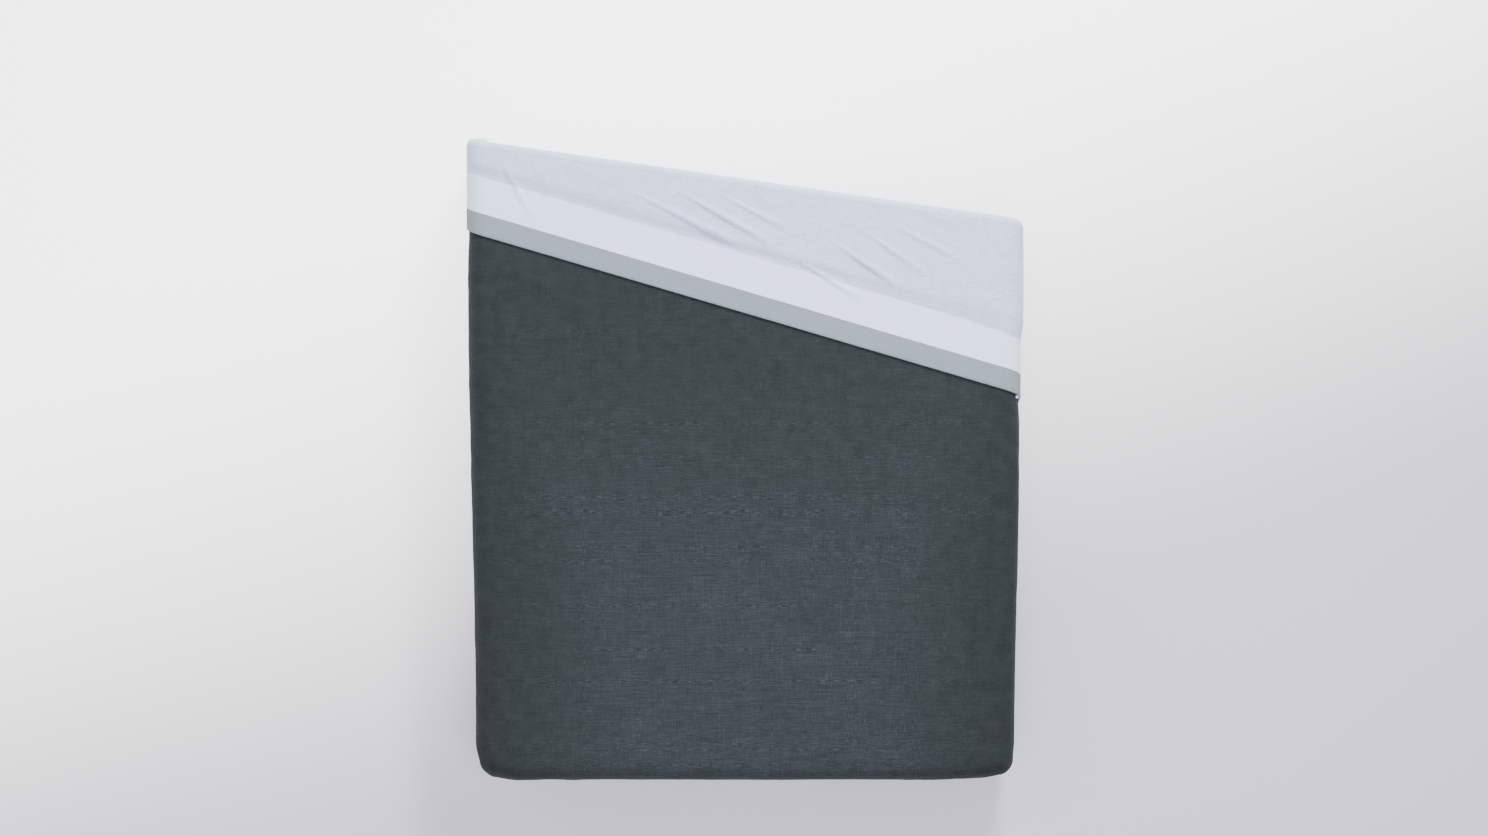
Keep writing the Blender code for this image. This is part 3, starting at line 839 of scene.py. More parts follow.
@dataclass(frozen=True)
class MetalFinish:
    """Brushed metal, rubbed brighter in patches."""

    name: str
    base: Colour
    rubbed: Colour
    roughness: float

    def material(self, kit: "Kit") -> bpy.types.Material:
        """Builds the material from the shared shade drift of kit."""
        made, graph, shader = start_material(self.name)
        place = graph.node("ShaderNodeTexCoord").outputs["Object"]
        near = graph.stretched(place, (40.0, 40.0, 40.0))
        drift = grouped(graph, kit.drift, Pattern=near)
        brushed = graph.noise(graph.stretched(place, (900.0, 9000.0, 9000.0)), 1.0, 2.0)
        graph.feed(
            shader.inputs["Base Color"],
            graph.mix(drift.outputs["Broad"], (*self.base, 1), (*self.rubbed, 1)),
        )
        shader.inputs["Metallic"].default_value = 1.0
        rough = graph.math("MULTIPLY", brushed, 0.25)
        graph.feed(shader.inputs["Roughness"], graph.math("ADD", rough, self.roughness - 0.12))
        bump = graph.node("ShaderNodeBump")
        bump.inputs["Distance"].default_value = 0.00004
        graph.feed(bump.inputs["Height"], brushed)
        graph.feed(shader.inputs["Normal"], bump.outputs[0])
        return made


class Kit:
    """The shared node groups, and each finish built once."""

    def __init__(self) -> None:
        """Builds the groups and the finishes."""
        self.yarns, self.drift, self.rumple = yarn_group(), drift_group(), rumple_group()
        self.made = {finish.name: finish.material(self) for finish in FINISHES}

    def dress(self, obj: bpy.types.Object, finish: str) -> None:
        """Gives obj one finish."""
        obj.data.materials.clear()
        obj.data.materials.append(self.made[finish])


FINISHES = (
    # Slate linen: painted shade darkens it towards its sides, head and bends.
    ClothFinish(
        "slate_linen", dark=(0.008, 0.011, 0.012), light=(0.067, 0.079, 0.093),
        drift=(0.016, 0.022, 0.020),
        pitch=850.0, slub=0.82, roughness=0.88,
        weave_depth=0.0005, rumple_depth=0.0010, drift_share=0.26, painted_shade_share=0.95,
    ),
    ClothFinish(
        "white_cotton", dark=(0.44, 0.52, 0.72), light=(0.57, 0.66, 0.86),
        drift=(0.47, 0.55, 0.76),
        pitch=1700.0, slub=0.10, roughness=0.80,
        weave_depth=0.00012, rumple_depth=0.0016, drift_share=0.20,
    ),
    ClothFinish(
        "white_hem", dark=(0.60, 0.70, 0.97), light=(0.72, 0.82, 1.00),
        drift=(0.62, 0.72, 0.98),
        pitch=1700.0, slub=0.08, roughness=0.78,
        weave_depth=0.00012, rumple_depth=0.0008, drift_share=0.15,
    ),
    ClothFinish(
        "grey_border", dark=(0.155, 0.19, 0.215), light=(0.245, 0.29, 0.325),
        drift=(0.175, 0.215, 0.235),
        pitch=1300.0, slub=0.18, roughness=0.82,
        weave_depth=0.0002, rumple_depth=0.0008, drift_share=0.22,
    ),
    ClothFinish(
        "insert_ticking", dark=(0.70, 0.69, 0.66), light=(0.84, 0.83, 0.80),
        drift=(0.74, 0.73, 0.70),
        pitch=2000.0, slub=0.08, roughness=0.72,
        weave_depth=0.00010, rumple_depth=0.0012, drift_share=0.20,
    ),
    ClothFinish(
        "zip_tape", dark=(0.045, 0.053, 0.062), light=(0.085, 0.096, 0.110),
        drift=(0.050, 0.060, 0.068),
        pitch=1500.0, slub=0.05, roughness=0.60,
        weave_depth=0.0003, rumple_depth=0.0002, drift_share=0.15,
    ),
    FibreFinish("fibre_fill", (0.88, 0.88, 0.86), (0.70, 0.70, 0.69)),
    MetalFinish("zip_metal", (0.30, 0.31, 0.32), (0.44, 0.45, 0.46), 0.36),
)


# --- meshes of cloth -----------------------------------------------------------------------------


@dataclass(frozen=True)
class Patch:
    """A grid of stations, and where each pair of them lies in the pattern."""

    columns: Sequence[float]
    rows: Sequence[float]
    pattern: Callable[[float, float], Point]


def quad_patch(near: Line, far: Line, first: Line, last: Line, step: float) -> Patch:
    """Patch between two cross lines and two side lines.

    Args:
        near: Cross line at the free edge's side.
        far: Cross line at the fold's side.
        first: Side line on the left.
        last: Side line on the right.
        step: Size of a cell.

    Returns:
        The patch.
    """
    low = [meet(first, near), meet(last, near)]
    high = [meet(first, far), meet(last, far)]
    wide = max((low[1] - low[0]).length, (high[1] - high[0]).length)
    long = max((high[0] - low[0]).length, (high[1] - low[1]).length)

    def pattern(u: float, v: float) -> Point:
        """Pattern point at the shares u across and v along."""
        point = low[0].lerp(low[1], u).lerp(high[0].lerp(high[1], u), v)
        return point.x, point.y

    shares = [spaced(0.0, 1.0, min(1.0, step / size)) for size in (wide, long)]
    return Patch(shares[0], shares[1], pattern)


def link(mesh: bpy.types.Mesh, name: str) -> bpy.types.Object:
    """The mesh as a new object in the scene."""
    obj = bpy.data.objects.new(name, mesh)
    bpy.context.scene.collection.objects.link(obj)
    return obj


def pick(obj: bpy.types.Object) -> None:
    """Selects obj alone and makes it active."""
    bpy.ops.object.select_all(action="DESELECT")
    obj.select_set(True)
    bpy.context.view_layer.objects.active = obj


def apply_all(obj: bpy.types.Object) -> None:
    """Applies every modifier of obj, in order."""
    pick(obj)
    for modifier in list(obj.modifiers):
        bpy.ops.object.modifier_apply(modifier=modifier.name)


def open_sheet(name: str, patches: Sequence[Patch], place: Place, flipped: bool = False) -> bpy.types.Object:
    """A cloth as one open surface, its pattern kept as its UV map.

    Args:
        name: The piece's name.
        patches: Grids that share their border points.
        place: World place of a pattern point.
        flipped: Whether the cloth's outer side faces down.

    Returns:
        The object.
    """
    seen: dict[Point, int] = {}
    pattern: list[Point] = []
    faces: list[tuple[int, ...]] = []
    for patch in patches:
        index = []
        for row in patch.rows:
            line = []
            for column in patch.columns:
                x, y = patch.pattern(column, row)
                key = (round(x, 6), round(y, 6))
                if key not in seen:
                    seen[key] = len(pattern)
                    pattern.append((x, y))
                line.append(seen[key])
            index.append(line)
        for low, high in zip(index, index[1:]):
            for i in range(len(low) - 1):
                corners = [low[i], low[i + 1], high[i + 1], high[i]]
                faces.append(tuple(dict.fromkeys(corners)))
    turned = []
    for face in faces:
        points = [pattern[i] for i in face]
        area = sum(
            a[0] * b[1] - a[1] * b[0] for a, b in zip(points, points[1:] + points[:1])
        )
        turned.append(face if (area > 0) != flipped else face[::-1])
    mesh = bpy.data.meshes.new(name)
    mesh.from_pydata([place(x, y) for x, y in pattern], [], turned)
    uv = mesh.uv_layers.new(name=UV_NAME)
    loops = np.empty(len(mesh.loops), np.int32)
    mesh.loops.foreach_get("vertex_index", loops)
    uv.data.foreach_set("uv", np.array(pattern, np.float32)[loops].ravel())
    return link(mesh, name)


def pattern_of(mesh: bpy.types.Mesh) -> np.ndarray:
    """Each vertex's pattern point, from the UV map."""
    loops = np.empty(len(mesh.loops), np.int32)
    mesh.loops.foreach_get("vertex_index", loops)
    uv = np.empty(len(mesh.loops) * 2, np.float32)
    mesh.uv_layers[UV_NAME].data.foreach_get("uv", uv)
    found = np.zeros((len(mesh.vertices), 2), np.float32)
    found[loops] = uv.reshape(-1, 2)
    return found


def emboss(obj: bpy.types.Object, relief: Height) -> None:
    """Raises each vertex along its normal.

    Args:
        obj: An open cloth.
        relief: Height at a pattern point.
    """
    pattern = pattern_of(obj.data)
    normals = [v.normal.copy() for v in obj.data.vertices]
    for vertex, point, normal in zip(obj.data.vertices, pattern, normals):
        vertex.co += normal * relief(float(point[0]), float(point[1]))
    obj.data.update()


def finish_sheet(obj: bpy.types.Object, cloth: float, relief: Height | None = None, levels: int = 1) -> None:
    """Smooths an open cloth, presses its relief in and gives it its thickness, inward.

    Args:
        obj: The open cloth.
        cloth: Its thickness.
        relief: Height at a pattern point.
        levels: Subdivisions.
    """
    if levels:
        finer = obj.modifiers.new("finer", "SUBSURF")
        finer.levels = finer.render_levels = levels
        finer.boundary_smooth = "PRESERVE_CORNERS"
        apply_all(obj)
    if relief:
        emboss(obj, relief)
    wall = obj.modifiers.new("cloth", "SOLIDIFY")
    wall.thickness = cloth
    wall.offset = -1.0
    apply_all(obj)
    shade(obj)


@dataclass(frozen=True)
class Settling:
    """Cloth simulation that lets a draped cloth with a little slack fall into its own soft folds."""

    frames: int = 26
    slack: float = 0.014
    most: float = 0.0045
    clear: float = 0.0015

    def run(self, obj: bpy.types.Object, held: Height) -> None:
        """Drops the cloth over a still copy of itself and keeps how far it swells outward.

        Args:
            obj: An open cloth.
            held: How firmly a pattern point is held, from 0 to 1.
        """
        rest = [v.co.copy() for v in obj.data.vertices]
        normals = [v.normal.copy() for v in obj.data.vertices]
        under = link(obj.data.copy(), "settling_under")
        for vertex, normal in zip(under.data.vertices, normals):
            vertex.co -= normal * self.clear
        under.modifiers.new("solid", "COLLISION")
        under.collision.thickness_outer = under.collision.thickness_inner = self.clear * 0.6
        under.collision.cloth_friction = 12.0
        falling = link(obj.data.copy(), "settling_cloth")
        group = falling.vertex_groups.new(name="held")
        for index, point in enumerate(pattern_of(obj.data)):
            group.add([index], held(float(point[0]), float(point[1])), "REPLACE")
        self.set_up(falling.modifiers.new("fall", "CLOTH"))
        scene = bpy.context.scene
        for number in range(1, self.frames + 1):
            scene.frame_set(number)
        graph = bpy.context.evaluated_depsgraph_get()
        found = [v.co.copy() for v in falling.evaluated_get(graph).data.vertices]
        swell = [
            min(max((now - was).dot(normal), 0.0), 4 * self.most)
            for now, was, normal in zip(found, rest, normals)
        ]
        for vertex, normal, out in zip(obj.data.vertices, normals, swell):
            vertex.co += normal * self.most * (1 - 1 / (1 + out / self.most)) * 4 / 3
        scene.frame_set(1)
        bpy.data.objects.remove(falling)
        bpy.data.objects.remove(under)

    def set_up(self, fall: bpy.types.Modifier) -> None:
        """Sets how the cloth weighs, stretches and bends."""
        cloth = fall.settings
        cloth.quality = 6
        cloth.mass = 0.19
        cloth.tension_stiffness = cloth.compression_stiffness = 12.0
        cloth.shear_stiffness = 6.0
        cloth.bending_stiffness = 0.35
        cloth.air_damping = 2.0
        cloth.shrink_min = -self.slack
        cloth.vertex_group_mass = "held"
        cloth.pin_stiffness = 1.0
        fall.collision_settings.distance_min = self.clear * 0.6
        fall.collision_settings.collision_quality = 3
        fall.point_cache.frame_start, fall.point_cache.frame_end = 1, self.frames


def shade(obj: bpy.types.Object, angle: float = 0.9) -> None:
    """Smooth shading, broken at edges sharper than angle."""
    pick(obj)
    bpy.ops.object.shade_smooth_by_angle(angle=angle)


def pillow(name: str, patch: Patch, low: Place, high: Place) -> bpy.types.Object:
    """A closed pad whose two sides meet round its border.

    Args:
        name: The piece's name.
        patch: The grid of both sides.
        low: World place of the lower side.
        high: World place of the upper side.

    Returns:
        The object.
    """
    columns, rows = len(patch.columns), len(patch.rows)
    points: list[Vector] = []
    upper: dict[tuple[int, int], int] = {}
    lower: dict[tuple[int, int], int] = {}
    for j, row in enumerate(patch.rows):
        for i, column in enumerate(patch.columns):
            x, y = patch.pattern(column, row)
            rim = i in (0, columns - 1) or j in (0, rows - 1)
            upper[i, j] = len(points)
            points.append((low(x, y) + high(x, y)) / 2 if rim else high(x, y))
            lower[i, j] = upper[i, j]
            if not rim:
                lower[i, j] = len(points)
                points.append(low(x, y))
    faces = []
    for j in range(rows - 1):
        for i in range(columns - 1):
            ring = [(i, j), (i + 1, j), (i + 1, j + 1), (i, j + 1)]
            faces.append([upper[k] for k in ring])
            faces.append([lower[k] for k in reversed(ring)])
    mesh = bpy.data.meshes.new(name)
    mesh.from_pydata(points, [], faces)
    bm = bmesh.new()
    bm.from_mesh(mesh)
    bmesh.ops.remove_doubles(bm, verts=bm.verts, dist=1e-6)
    bmesh.ops.recalc_face_normals(bm, faces=bm.faces)
    bm.to_mesh(mesh)
    bm.free()
    mesh.shade_smooth()
    return link(mesh, name)


def swept(
    name: str, path: Sequence[Vector], across: Sequence[Vector], wide: float, tall: float
) -> bpy.types.Object:
    """A soft cord of oval section along a path.

    Args:
        name: The piece's name.
        path: Its middle line.
        across: Direction of its width at each point.
        wide: Half its width.
        tall: Half its height.

    Returns:
        The object, closed at both ends.
    """
    sides = 10
    points, faces, uvs = [], [], []
    run = 0.0
    for i, centre in enumerate(path):
        ahead = path[min(i + 1, len(path) - 1)] - path[max(i - 1, 0)]
        tangent = ahead.normalized()
        width = (across[i] - tangent * across[i].dot(tangent)).normalized()
        height = tangent.cross(width)
        run += (centre - path[i - 1]).length if i else 0.0
        for k in range(sides):
            angle = 2 * pi * k / sides
            points.append(centre + width * wide * cos(angle) + height * tall * sin(angle))
            uvs.append((run, k / sides * 2 * pi * wide))
    for i in range(len(path) - 1):
        for k in range(sides):
            a, b = i * sides + k, i * sides + (k + 1) % sides
            faces.append((a, b, b + sides, a + sides))
    faces.append(tuple(range(sides)))
    faces.append(tuple(range(len(points) - sides, len(points))))
    mesh = bpy.data.meshes.new(name)
    mesh.from_pydata(points, [], faces)
    uv = mesh.uv_layers.new(name=UV_NAME)
    for loop in mesh.loops:
        uv.data[loop.index].uv = uvs[loop.vertex_index]
    bm = bmesh.new()
    bm.from_mesh(mesh)
    bmesh.ops.recalc_face_normals(bm, faces=bm.faces)
    bm.to_mesh(mesh)
    bm.free()
    obj = link(mesh, name)
    shade(obj)
    return obj


def along(points: Sequence[Vector], pitch: float) -> list[tuple[Vector, Vector]]:
    """Even stops along a path.

    Args:
        points: The path.
        pitch: Distance from stop to stop.

    Returns:
        Each stop and the direction there.
    """
    stops, carry = [], pitch / 2
    for start, end in zip(points, points[1:]):
        step = end - start
        length = step.length
        while carry < length:
            stops.append((start + step * (carry / length), step / length))
            carry += pitch
        carry -= length
    return stops


def repeated(name: str, shape: bpy.types.Mesh, places: Sequence[Matrix]) -> bpy.types.Object:
    """Copies of one small shape as a single piece.

    Args:
        name: The piece's name.
        shape: The shape, about the origin.
        places: Where each copy goes.

    Returns:
        The object.
    """
    corners = np.array([v.co for v in shape.vertices])
    faces = [tuple(p.vertices) for p in shape.polygons]
    points, shifted = [], []
    for number, place in enumerate(places):
        matrix = np.array(place)
        points.append(corners @ matrix[:3, :3].T + matrix[:3, 3])
        shifted += [tuple(i + number * len(corners) for i in face) for face in faces]
    mesh = bpy.data.meshes.new(name)
    mesh.from_pydata(np.concatenate(points).tolist(), [], shifted)
    uv = mesh.uv_layers.new(name=UV_NAME)
    for loop in mesh.loops:
        place = mesh.vertices[loop.vertex_index].co
        uv.data[loop.index].uv = (place.x + place.z, place.y)
    mesh.shade_smooth()
    return link(mesh, name)


# --- shaping by hand -----------------------------------------------------------------------------


def box_piece(name: str, low: Vector, high: Vector) -> bpy.types.Object:
    """A block between two corners, to be shaped further."""
    bpy.ops.object.select_all(action="DESELECT")
    bpy.ops.mesh.primitive_cube_add(size=1.0, location=(low + high) / 2, scale=high - low)
    made = bpy.context.object
    made.name = made.data.name = name
    bpy.ops.object.transform_apply(location=True, rotation=True, scale=True)
    return made


def choose(obj: bpy.types.Object, test: Callable[[Vector, Vector], bool]) -> None:
    """In edit mode, selects the faces that pass a test.

    Args:
        obj: The object in edit mode.
        test: Takes a face's middle and its normal.
    """
    bpy.ops.mesh.select_mode(type="FACE")
    bpy.ops.mesh.select_all(action="DESELECT")
    bm = bmesh.from_edit_mesh(obj.data)
    for face in bm.faces:
        face.select_set(test(face.calc_center_median(), face.normal))
    bm.select_flush_mode()
    bmesh.update_edit_mesh(obj.data)


def extrude(x: float, y: float, z: float) -> None:
    """In edit mode, extrudes the chosen faces by an offset."""
    bpy.ops.mesh.extrude_region_move(TRANSFORM_OT_translate={"value": (x, y, z)})


def cut_at(obj: bpy.types.Object, point: Vector, normal: Vector) -> None:
    """In edit mode, cuts the whole mesh with a plane and keeps both sides."""
    bpy.ops.mesh.select_all(action="SELECT")
    bpy.ops.mesh.bisect(plane_co=point, plane_no=normal)


def soften(obj: bpy.types.Object, width: float) -> None:
    """Bevels the sharp edges of obj and shades it."""
    edge = obj.modifiers.new("soft_edge", "BEVEL")
    edge.width = width
    edge.segments = 2
    edge.limit_method = "ANGLE"
    apply_all(obj)
    shade(obj)


def fuse(obj: bpy.types.Object, other: bpy.types.Object) -> None:
    """Joins other to obj as one solid, and removes other."""
    union = obj.modifiers.new("join", "BOOLEAN")
    union.operation = "UNION"
    union.object = other
    apply_all(obj)
    bpy.data.objects.remove(other)


def stitch_shape(length: float, radius: float) -> bpy.types.Mesh:
    """One stitch along X: a short rod whose ends are drawn in.

    Args:
        length: Its length.
        radius: Its radius.

    Returns:
        The mesh, about the origin.
    """
    bpy.ops.object.select_all(action="DESELECT")
    bpy.ops.mesh.primitive_cylinder_add(
        vertices=6, radius=radius, depth=length * 0.6, rotation=(0, pi / 2, 0)
    )
    made = bpy.context.object
    bpy.ops.object.transform_apply(rotation=True)
    bpy.ops.object.mode_set(mode="EDIT")
    for sign in (-1, 1):
        choose(made, lambda centre, normal: normal.x * sign > 0.9)
        extrude(sign * length * 0.2, 0, -radius * 0.5)
        bpy.ops.transform.resize(value=(1, 0.45, 0.45))
    bpy.ops.object.mode_set(mode="OBJECT")
    shape = made.data
    bpy.data.objects.remove(made)
    return shape


@dataclass(frozen=True)
class Needle:
    """Runs stitches along a cloth's finished surface."""

    pitch: float = 0.0048
    length: float = 0.0036
    radius: float = 0.00042

    def run(self, name: str, path: Sequence[Vector], cloth: bpy.types.Object) -> bpy.types.Object:
        """A line of stitches.

        Args:
            name: The piece's name.
            path: Where it runs, near the cloth.
            cloth: The finished cloth that it lies on.

        Returns:
            The stitches as one piece.
        """
        tree = BVHTree.FromObject(cloth, bpy.context.evaluated_depsgraph_get())
        shape = stitch_shape(self.length, self.radius)
        places = []
        for stop, heading in along(path, self.pitch):
            spot, normal, _, _ = tree.find_nearest(stop)
            ahead = (heading - normal * heading.dot(normal)).normalized()
            axes = Matrix((ahead, normal.cross(ahead), normal)).transposed().to_4x4()
            places.append(Matrix.Translation(spot + normal * self.radius * 0.3) @ axes)
        made = repeated(name, shape, places)
        bpy.data.meshes.remove(shape)
        return made


# --- the cover and the insert over the bed -------------------------------------------------------


def report(obj: bpy.types.Object) -> bpy.types.Object:
    """Logs a finished piece and hands it back."""
    low, high = (Vector(f(v.co[i] for v in obj.data.vertices) for i in range(3)) for f in (min, max))
    size = " x ".join(f"{1000 * s:.0f}" for s in high - low)
    LOG.info("%s: %d faces, %s mm", obj.name, len(obj.data.polygons), size)
    return obj


def on_body(obj: bpy.types.Object, body: str, kit: Kit, finish: str, *nodes: str) -> bpy.types.Object:
    """Dresses a finished piece, sets it on its body and hides the solids that it stands for.

    Args:
        obj: The piece.
        body: The body that it rides on.
        kit: The finishes.
        finish: Name of its finish.
        nodes: Solids that it replaces.

    Returns:
        The piece.
    """
    kit.dress(obj, finish)
    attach(obj, body)
    if nodes:
        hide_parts(*nodes)
    return report(obj)


@dataclass(frozen=True)
class BodyGrid:
    """Grids of the cloths over the bed: the top, both sides, the foot and its corners."""

    layout: Layout
    step: float = 0.024
    corner_steps: int = 10
    hem_tail: tuple[float, ...] = (0.16, 0.115, 0.078, 0.045, 0.019, 0.006)

    def depths(self) -> list[float]:
        """Rows of the hang: 0 to 1 round the bend, 1 to 2 down to the hem."""
        even = closing(1.0, self.step / 0.31, self.hem_tail)
        return spaced(0.0, 1.0, 0.2) + [1 + share for share in even[1:]]

    def reach(self, depth: float, hem: float) -> float:
        """Distance past the flat top's edge at a row of depths."""
        bend = self.layout.bend
        return depth * bend if depth <= 1 else bend + (hem - bend) * (depth - 1)

    def along_bed(self, x: float, share: float) -> Point:
        """Pattern point at x, at a share of the way from the foot to the fold."""
        lay = self.layout
        return x, lay.core_foot + (lay.body_end(x) - lay.core_foot) * share

    def patches(self, ease: float = 0.0) -> list[Patch]:
        """Every grid of one cloth.

        Args:
            ease: How far short of the cover's hem it stops.

        Returns:
            The patches, which share their border points.
        """
        lay = self.layout
        columns = spaced(-lay.core_half, lay.core_half, self.step)
        rows = spaced(0.0, 1.0, self.step / (lay.fold_at - lay.core_foot))
        depths = self.depths()
        turns = spaced(0.0, 1.0, 1 / self.corner_steps)
        foot = lay.hem_reach(1.0) - ease
        found = [
            Patch(columns, rows, self.along_bed),
            Patch(columns, depths, lambda x, d: (x, lay.core_foot - self.reach(d, foot))),
        ]
        for side in Side:
            found += [
                Patch(depths, rows, self.side_pattern(side, ease)),
                Patch(turns, depths, self.corner_pattern(side, ease)),
            ]
        return found

    def cut(self, ease: float = 0.0) -> tuple[Point, float]:
        """Flat size of one cloth, from its own pattern.

        Args:
            ease: How far short of the cover's hem it stops.

        Returns:
            The smallest rectangle that holds the pattern, and the pattern's area.
        """
        area, corners = 0.0, []
        for patch in self.patches(ease):
            spots = np.array([[patch.pattern(c, r) for c in patch.columns] for r in patch.rows])
            one, other = spots[1:, 1:] - spots[:-1, :-1], spots[1:, :-1] - spots[:-1, 1:]
            cells = np.abs(one[..., 0] * other[..., 1] - one[..., 1] * other[..., 0]) / 2
            area += float(cells.sum())
            corners += [spots.min(axis=(0, 1)), spots.max(axis=(0, 1))]
        wide, long = np.ptp(np.array(corners), axis=0)
        return (float(wide), float(long)), area

    def side_pattern(self, side: Side, ease: float) -> Callable[[float, float], Point]:
        """Pattern of one hanging side."""
        hem = self.layout.hem_reach(0.0) - ease

        def pattern(depth: float, share: float) -> Point:
            """Pattern point at a depth of the hang and a share of the bed's length."""
            x = side.value * (self.layout.core_half + self.reach(depth, hem))
            return self.along_bed(x, share)

        return pattern

    def corner_pattern(self, side: Side, ease: float) -> Callable[[float, float], Point]:
        """Pattern of one foot corner."""
        lay = self.layout

        def pattern(turn: float, depth: float) -> Point:
            """Pattern point at a turn round the corner and a depth of the hang."""
            reach = self.reach(depth, lay.hem_reach(turn) - ease)
            angle = turn * pi / 2
            x = lay.core_half + (reach * cos(angle) if turn < 1 else 0.0)
            return side.value * x, lay.core_foot - reach * sin(angle)

        return pattern

    def hem_path(self, drape: Drape, inset: float, height: float) -> list[Vector]:
        """Points along the hem, from the left end of the fold round the foot to the right end.

        Args:
            drape: How the pattern hangs.
            inset: Distance in from the hem.
            height: Height above the inner side.

        Returns:
            The points.
        """
        lay = self.layout
        points = []
        for side in Side:
            reach = lay.hem_reach(0.0) - inset
            x = side.value * (lay.core_half + reach)
            line = [(x, y) for y in spaced(lay.core_foot, lay.body_end(x) - 0.004, 0.012)][::-1]
            for turn in spaced(0.0, 1.0, 0.04):
                reach = lay.hem_reach(turn) - inset
                across = lay.core_half + reach * cos(turn * pi / 2)
                line.append((side.value * across, lay.core_foot - reach * sin(turn * pi / 2)))
            points.append([drape.body(x, y, height) for x, y in line])
        return points[0] + points[1][::-1]


@dataclass(frozen=True)
class Cover:
    """The cover's two cloths over the bed, and the seam and stitches of their hem."""

    drape: Drape
    grid: BodyGrid
    cloth: float = 0.0009
    seam_wide: float = 0.0026
    seam_tall: float = 0.0015
    line_inset: float = 0.009

    def build(self, kit: Kit, needle: Needle) -> None:
        """Builds and dresses every piece.

        Args:
            kit: The finishes.
            needle: Runs the stitches.
        """
        lay, drape = self.drape.layout, self.drape
        cut, area = self.grid.cut()
        face = open_sheet("cover_face", self.grid.patches(), lambda x, y: drape.body(x, y, lay.thickness))
        Settling().run(face, self.held)
        finish_sheet(face, self.cloth, drape.face_relief)
        on_body(face, "body", kit, "slate_linen", "cover_face_body")
        reverse = open_sheet(
            "cover_reverse", self.grid.patches(), lambda x, y: drape.body(x, y, 0.0), flipped=True
        )
        finish_sheet(reverse, self.cloth)
        on_body(reverse, "body", kit, "white_cotton", "cover_reverse_body")
        line = self.grid.hem_path(drape, self.line_inset, lay.thickness)
        stitches = needle.run("cover_hem_stitches", line, face)
        on_body(stitches, "body", kit, "slate_linen")
        sewn = [stitches, *self.build_seams(kit)]

    def held(self, x: float, y: float) -> float:
        """How firmly the face is held: under the turned-back end, and along its hem."""
        tucked = smooth((y - self.drape.layout.free_y(x) + 0.075) / 0.045)
        return max(tucked, 1 - smooth((self.drape.hem_distance(x, y) - 0.012) / 0.030))

    def build_seams(self, kit: Kit) -> list[bpy.types.Object]:
        """The rolled seams that join both cloths, each from the fold round to the zip's end."""
        lay = self.drape.layout
        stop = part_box("side_seam_right")[0].x
        made = []
        for side in Side:
            path = [
                point - Vector((0, 0, self.seam_tall * 0.7))
                for point in self.grid.hem_path(self.drape, 0.0, lay.thickness / 2)
                if point.x * side.value > stop or point.y > lay.core_foot
            ]
            path = [point for point in path if point.x * side.value > 0]
            across = self.outward(path, side)
            seam = swept(f"hem_seam_{side.word}", path, across, self.seam_wide, self.seam_tall)
            made.append(on_body(seam, "body", kit, "slate_linen", f"side_seam_{side.word}"))
        return made

    def outward(self, path: Sequence[Vector], side: Side) -> list[Vector]:
        """Horizontal direction away from the bed at each point of a hem path."""
        found = []
        for i in range(len(path)):
            ahead = path[min(i + 1, len(path) - 1)] - path[max(i - 1, 0)]
            across = Vector((ahead.y, -ahead.x, 0)).normalized()
            middle = Vector((0, 0, path[i].z))
            found.append(across if across.dot(path[i] - middle) > 0 else -across)
        return found


